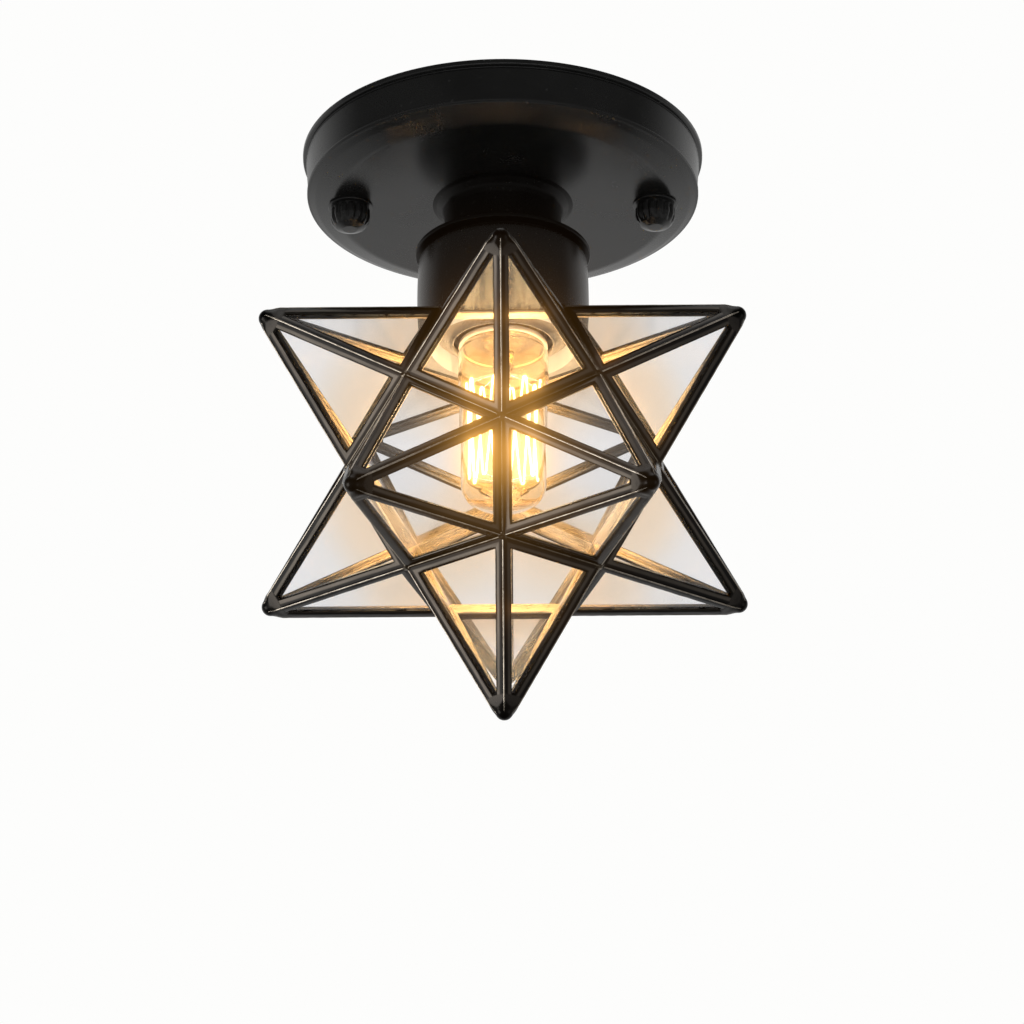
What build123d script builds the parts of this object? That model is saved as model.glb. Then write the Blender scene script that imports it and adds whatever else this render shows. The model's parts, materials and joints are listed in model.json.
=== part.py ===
from build123d import *
from math import sin, cos, tan, atan, radians, degrees, sqrt
import os

# Semi-flush ceiling light: a shallow canopy, a short stem, a barrel cup and a
# clear glass star held by its collar in the cup, round one tubular bulb.
# Origin: centre of the ceiling face. +Z up, so the light hangs below Z = 0.
# Front is -Y. All sizes in millimetres.

# ---------------------------------------------------------------- dimensions
# canopy
canopy_r = 58.4              # outer radius of the rim flange
canopy_wall_r = 57.5         # top of the wall, under the rim
canopy_low_r = 56.75        # bottom of the wall
canopy_wall_z = -12.6        # bottom of the wall
canopy_z = -16.5             # flat face
canopy_face_r = 49.6         # edge of the flat face
sheet_t = 1.2                # canopy, stem and cup sheet thickness

# ceiling hardware
bracket_t = 2.0
stud_pitch = 88.9            # 3 1/2 in between the two canopy studs
stud_r = 2.08                # No. 8-32 stud
stud_hole_r = 2.10
canopy_hole_r = 2.4
box_slot_pitch = 79.375      # middle of the 2 3/4 to 3 1/2 in box screw range
box_slot_len = 14.3
box_slot_r = 2.4
nipple_r = 4.8               # 1/8 in lamp pipe
nipple_bore_r = 3.3

# cap nuts
nut_r = 5.8
nut_len = 7.0
nut_washer_r = 6.5
nut_washer_t = 0.6
nut_bore_r = 2.15

# stem and cup
stem_r = 17.0
stem_flare_r = 20.4
flange_r = 25.4              # flange at the foot of the stem, just over the cup
flange_z = -32.2             # its upper side
cup_top_z = -35.0
cup_bottom_z = -61.4
cup_r = 24.9
screw_z = -52.0              # height of the three shade screws
screw_r = 1.5
screw_head_r = 2.8

# lamp socket and bulb
skirt_r = 19.6
skirt_throat_r = 13.95
bulb_r = 12.7                # one-inch tubular bulb
bulb_end_z = -114.6
bulb_rim_z = -63.5           # lower rim of the brass cap
cap_crest_r = 13.05
cap_root_r = 12.25
thread_pitch = 25.4 / 7      # medium base, seven threads per inch
contact_z = -36.0            # end contact of the bulb
shell_crest_r = 13.15        # inner crest of the screw shell
filament_rx = 10.5            # cage of wires, flattened from front to back
filament_ry = 4.2
filament_top_z = -74.3
filament_low_z = -105.7
hooks = 8                     # at each end of the cage

# star shade
star_z = -100.0              # centre of the star
tip_r = 85.04                # centre to where the panes of a point would meet
core_d = 38.03               # centre to each pentagon of the core
core_in = 23.50              # inscribed radius of a core pentagon
strip_t = 0.6                # metal strip over and under the glass
glass_t = 1.8
strip_w = 3.0                # visible width of the strip on each pane
tip_cut = 78.5               # frame ends here, the rounded solder tip goes on
tip_ball = 2.6               # radius of the rounded tip
bead_r = 2.15                # solder bead at the inner corners
collar_r = 21.6
collar_bore_r = 20.7
collar_top_z = -47.0
plate_low = 36.6             # top plate, measured from the star's centre
plate_high = 37.4

os.makedirs("parts", exist_ok=True)


def save(part, name):
    part.label = name
    export_step(part, "parts/%s.step" % name)


def rod(start, end, r):
    """A straight round rod between two points, added to the open part."""
    a, b = Vector(*start), Vector(*end)
    with BuildSketch(Plane(origin=a, z_dir=(b - a))) as section:
        Circle(r)
    extrude(section.sketch, amount=(b - a).length)


def ring(r_in, r_out, z_low, z_high):
    """A plain ring about the main axis, added to the open part."""
    with BuildSketch(Plane.XY.offset(z_low)) as section:
        Circle(r_out)
        if r_in > 0:
            Circle(r_in, mode=Mode.SUBTRACT)
    extrude(section.sketch, amount=z_high - z_low)


# ============================================================ ceiling bracket
with BuildPart() as mounting_bracket:
    with BuildSketch(Plane.XY.offset(-bracket_t)):
        RectangleRounded(104, 16, 4)
        RectangleRounded(22, 104, 4)
        with Locations((0, box_slot_pitch / 2), (0, -box_slot_pitch / 2)):
            SlotOverall(box_slot_len, 2 * box_slot_r, rotation=90, mode=Mode.SUBTRACT)
        with Locations((stud_pitch / 2, 0), (-stud_pitch / 2, 0)):
            Circle(stud_hole_r, mode=Mode.SUBTRACT)
        with Locations((-22, 0)):
            Circle(2.05, mode=Mode.SUBTRACT)
    extrude(amount=bracket_t)
save(mounting_bracket.part, "mounting_bracket")

with BuildPart() as canopy_studs:
    for x in (-stud_pitch / 2, stud_pitch / 2):
        with BuildSketch(Plane(origin=(x, 0, -22.3))):
            Circle(stud_r)
        extrude(amount=22.2)
    chamfer(canopy_studs.edges().group_by(Axis.Z)[0], length=0.5)
save(canopy_studs.part, "canopy_studs")

with BuildPart() as stud_locknuts:
    for x in (-stud_pitch / 2, stud_pitch / 2):
        with BuildSketch(Plane(origin=(x, 0, -5.2))):
            RegularPolygon(radius=4.2, side_count=6)
            Circle(stud_hole_r, mode=Mode.SUBTRACT)
        extrude(amount=3.2)
save(stud_locknuts.part, "stud_locknuts")

with BuildPart() as ground_screw:
    with BuildSketch(Plane(origin=(-22, 0, -2.0))):
        Circle(2.0)
    extrude(amount=1.9)
    with BuildSketch(Plane(origin=(-22, 0, -2.8))):
        Circle(4.4)
    extrude(amount=0.8)
    with BuildSketch(Plane(origin=(-22, 0, -5.6))):
        RegularPolygon(radius=3.6, side_count=6)
    extrude(amount=2.8)
    with BuildSketch(Plane(origin=(-22, 0, -5.6))):
        Rectangle(5.4, 0.9)
    extrude(amount=0.9, mode=Mode.SUBTRACT)
save(ground_screw.part, "ground_screw")

# ==================================================================== canopy
with BuildPart() as canopy:
    with BuildSketch(Plane.XZ):
        with BuildLine():
            Polyline((nipple_r + 0.3, canopy_z), (canopy_face_r, canopy_z))
            ThreePointArc((canopy_face_r, canopy_z), (53.0, -15.84), (56.1, -13.9))
            Polyline(
                (56.1, -13.9), (57.1, -13.55), (57.1, canopy_wall_z),
                (canopy_low_r, canopy_wall_z + 0.25), (canopy_wall_r, -2.5),
                (57.15, -2.15), (57.15, -1.9), (canopy_r, -1.6), (canopy_r, 0),
                (56.9, 0), (56.15, -2.6), (55.5, -12.8))
            ThreePointArc((55.5, -12.8), (53.0, -14.6), (49.4, canopy_z + sheet_t))
            Polyline((49.4, canopy_z + sheet_t), (nipple_r + 0.3, canopy_z + sheet_t),
                     (nipple_r + 0.3, canopy_z))
        make_face()
    revolve(axis=Axis.Z)
    with BuildSketch(Plane.XY.offset(canopy_z - 1)):
        with Locations((stud_pitch / 2, 0), (-stud_pitch / 2, 0)):
            Circle(canopy_hole_r)
    extrude(amount=4, mode=Mode.SUBTRACT)
save(canopy.part, "canopy")

# ------------------------------------------------- nipple, lock nut, washer
with BuildPart() as nipple:
    ring(nipple_bore_r, nipple_r, -21.0, -10.5)
    chamfer(nipple.edges().filter_by(GeomType.CIRCLE).group_by(Axis.Z)[-1].sort_by(SortBy.RADIUS)[-1:],
            length=0.5)
save(nipple.part, "nipple")

with BuildPart() as lock_washer:
    ring(nipple_r + 0.05, 8.4, -15.3, -14.5)
    with PolarLocations(8.9, 12):
        Cylinder(0.9, 40, mode=Mode.SUBTRACT)
save(lock_washer.part, "lock_washer")

with BuildPart() as nipple_locknut:
    with BuildSketch(Plane.XY.offset(-14.5)):
        RegularPolygon(radius=8.2, side_count=6)
        Circle(nipple_r, mode=Mode.SUBTRACT)
    extrude(amount=3.0)
save(nipple_locknut.part, "nipple_locknut")

# ================================================================= cap nuts
for side, x in (("left", -stud_pitch / 2), ("right", stud_pitch / 2)):
    top = canopy_z - nut_washer_t
    with BuildPart() as nut_washer:
        with BuildSketch(Plane(origin=(x, 0, top))):
            Circle(nut_washer_r)
            Circle(2.3, mode=Mode.SUBTRACT)
        extrude(amount=nut_washer_t)
        chamfer(nut_washer.edges().group_by(Axis.Z)[0].sort_by(SortBy.RADIUS)[-1:], length=0.25)
    save(nut_washer.part, "nut_washer_" + side)

    with BuildPart() as cap_nut:
        with BuildSketch(Plane(origin=(x, 0, 0), x_dir=(1, 0, 0), z_dir=(0, -1, 0))):
            with BuildLine():
                Polyline((0, top - 6.0), (0, top - nut_len), (2.6, top - nut_len))
                ThreePointArc((2.6, top - nut_len), (4.75, top - 6.1), (nut_r - 0.1, top - 4.3))
                Polyline(
                    (nut_r - 0.1, top - 4.3), (nut_r, top - 4.1), (nut_r, top - 1.0),
                    (nut_r - 0.4, top - 0.6), (nut_r - 0.4, top), (nut_bore_r, top),
                    (nut_bore_r, top - 5.6), (0, top - 6.0))
            make_face()
        revolve(axis=Axis((x, 0, 0), (0, 0, 1)))
        with Locations((x, 0, top - 2.55)):
            with PolarLocations(nut_r + 0.18, 36):
                Cylinder(0.36, 3.1, mode=Mode.SUBTRACT)
    save(cap_nut.part, "cap_nut_" + side)

# ==================================================================== stem
with BuildPart() as stem:
    with BuildSketch(Plane.XZ):
        with BuildLine():
            Polyline((nipple_r + 0.3, canopy_z), (stem_flare_r, canopy_z), (stem_flare_r, canopy_z - 0.5))
            ThreePointArc((stem_flare_r, canopy_z - 0.5), (17.95, -18.1), (stem_r, -21.0))
            Line((stem_r, -21.0), (stem_r, flange_z + 5.3))
            ThreePointArc((stem_r, flange_z + 5.3), (stem_r + 1.552, flange_z + 1.552), (stem_r + 5.3, flange_z))
            Polyline(
                (stem_r + 5.3, flange_z), (flange_r - 0.3, flange_z), (flange_r, flange_z - 0.3),
                (flange_r, flange_z - 1.1), (flange_r - 0.2, flange_z - 1.3), (22.0, flange_z - 1.3),
                (22.0, cup_top_z), (stem_r - sheet_t, cup_top_z),
                (stem_r - sheet_t, canopy_z - sheet_t), (nipple_r + 0.3, canopy_z - sheet_t),
                (nipple_r + 0.3, canopy_z))
        make_face()
    revolve(axis=Axis.Z)
save(stem.part, "stem")

# ================================================================ shade cup
with BuildPart() as shade_cup:
    with BuildSketch(Plane.XZ):
        with BuildLine():
            Polyline((24.15, cup_bottom_z), (24.15, cup_bottom_z + 0.4))
            ThreePointArc((24.15, cup_bottom_z + 0.4), (cup_r, -49.0), (24.6, -37.2))
            ThreePointArc((24.6, -37.2), (24.15, -35.7), (23.0, cup_top_z))
            Polyline((23.0, cup_top_z), (stem_r - sheet_t, cup_top_z),
                     (stem_r - sheet_t, cup_top_z - sheet_t), (22.6, cup_top_z - sheet_t))
            ThreePointArc((22.6, cup_top_z - sheet_t), (23.15, -36.55), (23.4, -37.4))
            ThreePointArc((23.4, -37.4), (cup_r - sheet_t, -49.0), (22.95, cup_bottom_z))
            Polyline((22.95, cup_bottom_z), (24.15, cup_bottom_z))
        make_face()
    revolve(axis=Axis.Z)
    for az in (0, 120, 240):
        a = radians(az)
        with BuildSketch(Plane(origin=(20 * sin(a), -20 * cos(a), screw_z),
                               z_dir=(sin(a), -cos(a), 0))):
            Circle(screw_r + 0.05)
        extrude(amount=8, mode=Mode.SUBTRACT)
save(shade_cup.part, "shade_cup")

for name, az in (("front", 0), ("back_right", 120), ("back_left", 240)):
    a = radians(az)
    out = Vector(sin(a), -cos(a), 0)

    def screw_plane(r):
        return Plane(origin=out * r + Vector(0, 0, screw_z), x_dir=(cos(a), sin(a), 0), z_dir=out)

    with BuildPart() as shade_screw:
        with BuildSketch(screw_plane(collar_r + 0.06)):
            Circle(screw_r)
        extrude(amount=25.0 - collar_r - 0.06)
        with BuildSketch(screw_plane(25.0)):
            Circle(screw_head_r)
        extrude(amount=1.9)
        fillet(shade_screw.edges().filter_by(GeomType.CIRCLE).sort_by(SortBy.RADIUS)[-2:].sort_by(
            lambda e: -e.center().dot(out))[0:1], radius=0.8)
        with BuildSketch(screw_plane(26.15)):
            Rectangle(6, 0.8)
        extrude(amount=2, mode=Mode.SUBTRACT)
    save(shade_screw.part, "shade_screw_" + name)

# ============================================================== lamp socket
with BuildPart() as socket_cap:
    with BuildSketch(Plane.XZ):
        with BuildLine():
            Polyline(
                (nipple_r, -17.7), (7.5, -17.7), (7.5, -20.0), (14.4, -20.0), (15.2, -20.8),
                (15.2, -29.5), (14.3, -29.5), (14.3, -21.0), (nipple_r, -21.0), (nipple_r, -17.7))
        make_face()
    revolve(axis=Axis.Z)
save(socket_cap.part, "socket_cap")

with BuildPart() as socket_body:
    with BuildSketch(Plane.XZ):
        with BuildLine():
            Polyline(
                (0, -26.0), (14.25, -26.0), (14.25, -36.6), (17.8, -36.6), (18.6, -37.4),
                (18.6, -57.5), (14.35, -57.5), (14.35, -37.5), (7.2, -37.5), (7.2, -33.2),
                (0, -33.2), (0, -26.0))
        make_face()
    revolve(axis=Axis.Z)
    with BuildSketch(Plane.XY.offset(-26.0)):
        with Locations((5, 0), (-5, 0)):
            Circle(1.05)
    extrude(amount=-2.0, mode=Mode.SUBTRACT)
save(socket_body.part, "socket_body")


def ring_thread(r_low, r_high, z_start, z_stop, pitch):
    """Points of a rounded ring thread between two radii, going up."""
    pts = []
    n = int((z_stop - z_start) / (pitch / 2))
    for i in range(n + 1):
        pts.append((r_high if i % 2 else r_low, z_start + i * pitch / 2))
    return pts


with BuildPart() as socket_screw_shell:
    inner = ring_thread(shell_crest_r + 0.45, shell_crest_r, -57.0, -40.0, thread_pitch)
    outer = [(r + 0.5, z) for r, z in inner]
    with BuildSketch(Plane.XZ):
        with BuildLine():
            Polyline(*inner, *reversed(outer), inner[0])
        make_face()
    revolve(axis=Axis.Z)
save(socket_screw_shell.part, "socket_screw_shell")

with BuildPart() as socket_contact_tab:
    with BuildSketch(Plane.XZ.offset(-3)):
        with BuildLine():
            Polyline(
                (-6.0, -33.2), (-1.5, -33.2), (0.5, -35.3), (4.0, -35.3), (4.0, -35.9),
                (-0.2, -35.9), (-2.2, -33.8), (-6.0, -33.8), (-6.0, -33.2))
        make_face()
    extrude(amount=6)
save(socket_contact_tab.part, "socket_contact_tab")

with BuildPart() as socket_skirt:
    with BuildSketch(Plane.XZ):
        with BuildLine():
            Polyline((18.65, -50.0), (skirt_r, -50.0), (skirt_r, -58.3))
            ThreePointArc((skirt_r, -58.3), (16.0, -59.88), (skirt_throat_r + 0.8, -62.5))
            Polyline((skirt_throat_r + 0.8, -62.5), (skirt_throat_r, -62.5))
            ThreePointArc((skirt_throat_r, -62.5), (15.57, -59.17), (18.65, -57.58))
            Polyline((18.65, -57.58), (18.65, -50.0))
        make_face()
    revolve(axis=Axis.Z)
save(socket_skirt.part, "socket_skirt")

# --------------------------------------------------------- wires, inside
wire_r = 1.0
wire_z = -7.5
for name, s in (("live", 1), ("neutral", -1)):
    with BuildPart() as wire:
        with BuildLine() as path:
            FilletPolyline(
                (5 * s, 0, -27.8), (5 * s, 0, -24.6), (1.15 * s, 0, -20.8), (1.15 * s, 0, wire_z),
                (13 * s, 11 * s, wire_z), (25 * s, 17 * s, wire_z), radius=(2.6, 2.6, 4.5, 12))
        with BuildSketch(Plane(origin=path.line @ 0, z_dir=path.line % 0)):
            Circle(wire_r)
        sweep()
    save(wire.part, "lead_wire_" + name)

with BuildPart() as ground_wire:
    with BuildLine() as path:
        FilletPolyline((-22, 4.6, -4.2), (-21, 12, -5.2), (-14, 20, wire_z), (-10, 30, wire_z), radius=(6, 8))
    with BuildSketch(Plane(origin=path.line @ 0, z_dir=path.line % 0)):
        Circle(0.8)
    sweep()
save(ground_wire.part, "ground_wire")

with BuildPart() as wire_connectors:
    for start, end in (
        ((25, 17, wire_z), (13, 11, wire_z)),
        ((-25, -17, wire_z), (-13, -11, wire_z)),
        ((-10, 30, wire_z), (-14, 20, wire_z)),
    ):
        d = (Vector(*start) - Vector(*end)).normalized()
        with BuildSketch(Plane(origin=start, z_dir=d)):
            Circle(4.2)
        with BuildSketch(Plane(origin=Vector(*start) + d * 15, z_dir=d)):
            Circle(2.9)
        loft(ruled=True)
save(wire_connectors.part, "wire_connectors")

# ====================================================================== bulb
# the closed end is a corner arc that runs into a flat dome
corner_r = 5.5
corner_c = (bulb_r - corner_r, bulb_end_z + 7.1)
dome_rise = (corner_c[0] ** 2 - (7.1 - corner_r) ** 2) / (2 * (7.1 - corner_r))
dome_r = dome_rise + 7.1
dome_c = (0, bulb_end_z + dome_r)
corner_deg = -degrees(atan(dome_rise / corner_c[0]))


def on_arc(centre, r, deg):
    return (centre[0] + r * cos(radians(deg)), centre[1] + r * sin(radians(deg)))


with BuildPart() as bulb_glass:
    with BuildSketch(Plane.XZ):
        with BuildLine():
            Polyline((11.6, -58.0), (11.6, -63.6))
            ThreePointArc((11.6, -63.6), (12.4, -64.5), (bulb_r, -65.8))
            Line((bulb_r, -65.8), on_arc(corner_c, corner_r, 0))
            ThreePointArc(*[on_arc(corner_c, corner_r, a * corner_deg) for a in (0, 0.5, 1)])
            ThreePointArc(*[on_arc(dome_c, dome_r, a) for a in (corner_deg, corner_deg / 2 - 45, -90)])
            Line(on_arc(dome_c, dome_r, -90), on_arc(dome_c, dome_r - 0.8, -90))
            ThreePointArc(*[on_arc(dome_c, dome_r - 0.8, a) for a in (-90, corner_deg / 2 - 45, corner_deg)])
            ThreePointArc(*[on_arc(corner_c, corner_r - 0.8, a * corner_deg) for a in (1, 0.5, 0)])
            Polyline(on_arc(corner_c, corner_r - 0.8, 0), (bulb_r - 0.8, -65.8), (10.8, -63.9),
                     (10.8, -58.0), (11.6, -58.0))
        make_face()
    revolve(axis=Axis.Z)
save(bulb_glass.part, "bulb_glass")

with BuildPart() as bulb_cap:
    thread = ring_thread(cap_root_r, cap_crest_r, -61.5, -43.0, thread_pitch)
    with BuildSketch(Plane.XZ):
        with BuildLine():
            Polyline(
                (11.65, bulb_rim_z), (12.5, bulb_rim_z), (12.5, -62.2), *thread,
                (11.9, -42.2), (7.1, -40.0), (6.6, -40.0), (6.6, -40.5), (11.4, -42.6),
                (11.65, -43.2), (11.65, bulb_rim_z))
        make_face()
    revolve(axis=Axis.Z)
save(bulb_cap.part, "bulb_cap")

with BuildPart() as bulb_insulator:
    with BuildSketch(Plane.XZ):
        with BuildLine():
            Polyline((0, -40.4), (6.55, -40.4), (6.55, -39.8), (4.6, -38.2), (0, -38.2), (0, -40.4))
        make_face()
    revolve(axis=Axis.Z)
save(bulb_insulator.part, "bulb_insulator")

with BuildPart() as bulb_contact:
    with BuildSketch(Plane.XZ):
        with BuildLine():
            Polyline((0, -38.2), (4.3, -38.2), (4.3, -37.4))
            ThreePointArc((4.3, -37.4), (3.3, -36.4), (1.6, contact_z))
            Polyline((1.6, contact_z), (0, contact_z), (0, -38.2))
        make_face()
    revolve(axis=Axis.Z)
save(bulb_contact.part, "bulb_contact")

with BuildPart() as bulb_stem_glass:
    with BuildSketch(Plane.XZ):
        with BuildLine():
            Polyline((0, -58.6), (10.7, -58.6), (10.7, -60.0), (6.0, -63.0), (3.6, -66.5), (3.2, -69.5),
                     (1.3, -70.6), (1.3, -71.0), (1.0, -71.0), (1.0, -107.2), (0, -107.2), (0, -58.6))
        make_face()
    revolve(axis=Axis.Z)
save(bulb_stem_glass.part, "bulb_stem_glass")



def hook_point(number, shift, z, less=0.0):
    """Where the filament turns over a hook."""
    a = radians(360 / hooks * (number + shift))
    return ((filament_rx - less) * cos(a), (filament_ry - less) * sin(a), z)


with BuildPart() as bulb_support_wires:
    for z, zt, shift in ((-72.0, filament_top_z, 0.75), (-106.5, filament_low_z, 0.25)):
        ring(1.0, 2.0, z - 0.5, z + 0.5)
        for i in range(hooks):
            x, y, h = hook_point(i, shift, zt, 0.4)
            n = sqrt(x * x + y * y)
            rod((1.6 * x / n, 1.6 * y / n, z), (x, y, h), 0.16)
save(bulb_support_wires.part, "bulb_support_wires")

with BuildPart() as bulb_filament:
    pts = []
    for i in range(hooks):
        pts.append(hook_point(i, 0.25, filament_low_z))
        pts.append(hook_point(i, 0.75, filament_top_z))
    for i in range(2 * hooks - 1):
        rod(pts[i], pts[i + 1], 0.2)
    with Locations(*pts):
        Sphere(0.23)
save(bulb_filament.part, "bulb_filament")

# ================================================================ star shade
lean = atan(core_in / (tip_r - core_d))          # pane against the point's axis
slant = sqrt(core_in ** 2 + (tip_r - core_d) ** 2)
half_edge = core_in * tan(radians(36))
half_apex = atan(half_edge / slant)
vertex_r = core_in / cos(radians(36))
depth = 2 * strip_t + glass_t
star_c = Vector(0, 0, star_z)
tilt = atan(0.5)


def direction(az, el):
    return Vector(cos(el) * sin(radians(az)), -cos(el) * cos(radians(az)), sin(el))


def point_plane(axis, toward):
    """Plane at the star's centre: local Z out along a point, local X toward
    the middle of one edge of its base."""
    x = toward - axis * toward.dot(axis)
    return Plane(origin=star_c, x_dir=x.normalized(), z_dir=axis)


up, down = Vector(0, 0, 1), Vector(0, 0, -1)
points = [
    ("upper_front", point_plane(direction(0, tilt), up)),
    ("upper_right", point_plane(direction(72, tilt), up)),
    ("upper_back_right", point_plane(direction(144, tilt), up)),
    ("upper_back_left", point_plane(direction(216, tilt), up)),
    ("upper_left", point_plane(direction(288, tilt), up)),
    ("lower_front_right", point_plane(direction(36, -tilt), down)),
    ("lower_right", point_plane(direction(108, -tilt), down)),
    ("lower_back", point_plane(direction(180, -tilt), down)),
    ("lower_left", point_plane(direction(252, -tilt), down)),
    ("lower_front_left", point_plane(direction(324, -tilt), down)),
    ("bottom", point_plane(down, direction(36, -tilt))),
]


def pentagon(r_in):
    """Regular pentagon by inscribed radius, a side facing local +X."""
    r = r_in / cos(radians(36))
    Polygon(*[(r * cos(radians(36 + 72 * i)), r * sin(radians(36 + 72 * i))) for i in range(5)], align=None)


def pane_triangle(base_gap, side_gap):
    """The pane's triangle, drawn in from its base and from its two sides."""
    top = slant - side_gap / sin(half_apex)
    x = (slant - base_gap) * tan(half_apex) - side_gap / cos(half_apex)
    Polygon((-x, base_gap), (x, base_gap), (0, top), align=None)


def pane_plane(k):
    """Plane of the outside of strip k of a point that stands along +Z from
    the origin: X along the base, Y to the tip."""
    a = radians(72 * k)
    return Plane(origin=(core_in * cos(a), core_in * sin(a), core_d), x_dir=(-sin(a), cos(a), 0),
                 z_dir=(cos(a) * cos(lean), sin(a) * cos(lean), sin(lean)))


def base_corner(k):
    a = radians(36 + 72 * k)
    return Vector(vertex_r * cos(a), vertex_r * sin(a), core_d)


# one point, standing along +Z from the star's centre
inner_top = tip_r - depth / sin(lean)
with BuildPart() as point_frame:
    # cone from the star's centre through the base, then the point itself
    with BuildSketch(Plane.XY.offset(34.0)):
        pentagon(34.0 * core_in / core_d)
    with BuildSketch(Plane.XY.offset(core_d)):
        pentagon(core_in)
    loft(ruled=True)
    with BuildSketch(Plane.XY.offset(core_d)):
        pentagon(core_in)
    with BuildSketch(Plane.XY.offset(tip_cut)):
        pentagon((tip_r - tip_cut) * tan(lean))
    loft(ruled=True)
    with BuildSketch(Plane.XY.offset(33.0)):
        pentagon((tip_r - 33.0) * tan(lean) - depth / cos(lean))
    with BuildSketch(Plane.XY.offset(inner_top - 0.2)):
        pentagon(0.2 * tan(lean))
    loft(ruled=True, mode=Mode.SUBTRACT)
    for k in range(5):
        with BuildSketch(pane_plane(k).offset(-strip_t)):
            pane_triangle(strip_w, strip_w)
        extrude(amount=3, mode=Mode.SUBTRACT)
        with BuildSketch(pane_plane(k).offset(-strip_t - glass_t)):
            pane_triangle(0.9, 1.9)
        extrude(amount=glass_t, mode=Mode.SUBTRACT)
        with BuildSketch(pane_plane(k).offset(-strip_t - glass_t)):
            pane_triangle(2.2, 4.0)
        extrude(amount=-6, mode=Mode.SUBTRACT)
    for k in range(5):
        c = base_corner(k)
        with BuildSketch(Plane(origin=c * (1 - 6 / c.length), z_dir=c)):
            Circle(bead_r + 0.02)
        extrude(amount=10, mode=Mode.SUBTRACT)

with BuildPart() as point_panes:
    for k in range(5):
        with BuildSketch(pane_plane(k).offset(-strip_t - glass_t)):
            pane_triangle(0.9, 1.9)
        extrude(amount=glass_t)
    # the panes end just under the rounded tip
    with BuildSketch(Plane.XY.offset(tip_cut - 0.03)):
        Circle(15)
    extrude(amount=8, mode=Mode.SUBTRACT)

# rounded tip: it goes on from the cut frame, touches the planes of the panes
# and ends in a ball
base = (tip_r - tip_cut) * tan(lean)
ball_z = tip_r - tip_ball / sin(lean)
touch = (tip_ball * cos(lean), ball_z + tip_ball * sin(lean))
with BuildPart() as point_tip:
    with BuildSketch(Plane.XZ):
        with BuildLine():
            Polyline((0, tip_cut), (base, tip_cut), touch)
            ThreePointArc(touch, (tip_ball * cos(radians(58)), ball_z + tip_ball * sin(radians(58))),
                          (0, ball_z + tip_ball))
            Polyline((0, ball_z + tip_ball), (0, tip_cut))
        make_face()
    revolve(axis=Axis.Z)

# the eleven points of the star
for name, pl in points:
    with BuildPart() as frame:
        add(point_frame.part.moved(pl.location))
    save(frame.part, name + "_frame")

    with BuildPart() as panes:
        add(point_panes.part.moved(pl.location))
    save(panes.part, name + "_panes")

with BuildPart() as solder_tips:
    for name, pl in points:
        add(point_tip.part.moved(pl.location))
save(solder_tips.part, "solder_tips")

# solder beads at the twenty inner corners
corners = []
for name, pl in points:
    for k in range(5):
        c = pl.from_local_coords(base_corner(k))
        if all((c - d).length > 1 for d in corners):
            corners.append(c)
with BuildPart() as solder_joints:
    for c in corners:
        out = (c - star_c).normalized()
        with BuildSketch(Plane(origin=c - out * 3.3, z_dir=out)):
            Circle(bead_r)
        extrude(amount=3.9)
        fillet(solder_joints.edges(Select.LAST).filter_by(GeomType.CIRCLE).sort_by(
            lambda e: -(e.center() - star_c).length)[0:1], radius=1.4)
save(solder_joints.part, "solder_joints")

# plate in the neck opening and the collar on it
top_plane = Plane(origin=star_c, x_dir=direction(0, 0), z_dir=up)
with BuildPart() as shade_top_plate:
    with BuildSketch(top_plane.offset(plate_low)):
        pentagon(plate_low * core_in / core_d - 0.02)
    with BuildSketch(top_plane.offset(plate_high)):
        pentagon(plate_high * core_in / core_d - 0.02)
    loft(ruled=True)
    with BuildSketch(top_plane.offset(plate_low - 1)):
        Circle(collar_bore_r)
    extrude(amount=3, mode=Mode.SUBTRACT)
    for c in [c for c in corners if c.Z > star_z + core_d - 0.1]:
        with BuildSketch(Plane(origin=c - (c - star_c).normalized() * 6, z_dir=c - star_c)):
            Circle(bead_r + 0.02)
        extrude(amount=10, mode=Mode.SUBTRACT)
save(shade_top_plate.part, "shade_top_plate")

with BuildPart() as shade_collar:
    ring(collar_bore_r, collar_r, star_z + plate_high, collar_top_z)
save(shade_collar.part, "shade_collar")
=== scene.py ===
import json
import math
import random

import bmesh
import bpy
from mathutils import Matrix, Quaternion, Vector, noise

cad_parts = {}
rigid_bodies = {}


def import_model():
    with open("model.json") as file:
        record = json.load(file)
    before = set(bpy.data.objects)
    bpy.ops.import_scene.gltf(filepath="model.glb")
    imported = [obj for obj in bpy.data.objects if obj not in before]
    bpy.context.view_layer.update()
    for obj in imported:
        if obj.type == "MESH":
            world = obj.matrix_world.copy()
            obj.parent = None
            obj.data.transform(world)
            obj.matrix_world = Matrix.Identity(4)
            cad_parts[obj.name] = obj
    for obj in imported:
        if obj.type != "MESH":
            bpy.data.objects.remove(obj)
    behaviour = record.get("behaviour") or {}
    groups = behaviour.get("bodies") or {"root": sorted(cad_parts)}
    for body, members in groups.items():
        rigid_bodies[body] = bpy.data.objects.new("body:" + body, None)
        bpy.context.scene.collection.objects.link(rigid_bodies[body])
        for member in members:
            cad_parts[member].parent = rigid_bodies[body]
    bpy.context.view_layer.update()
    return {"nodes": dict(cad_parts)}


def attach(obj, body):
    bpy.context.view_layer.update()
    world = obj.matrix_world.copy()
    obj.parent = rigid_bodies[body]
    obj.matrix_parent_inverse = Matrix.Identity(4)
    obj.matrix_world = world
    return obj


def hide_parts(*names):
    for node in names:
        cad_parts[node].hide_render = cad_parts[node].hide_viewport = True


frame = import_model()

NODES = frame["nodes"]
MM = 0.001
scene = bpy.context.scene
random.seed(11)

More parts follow.
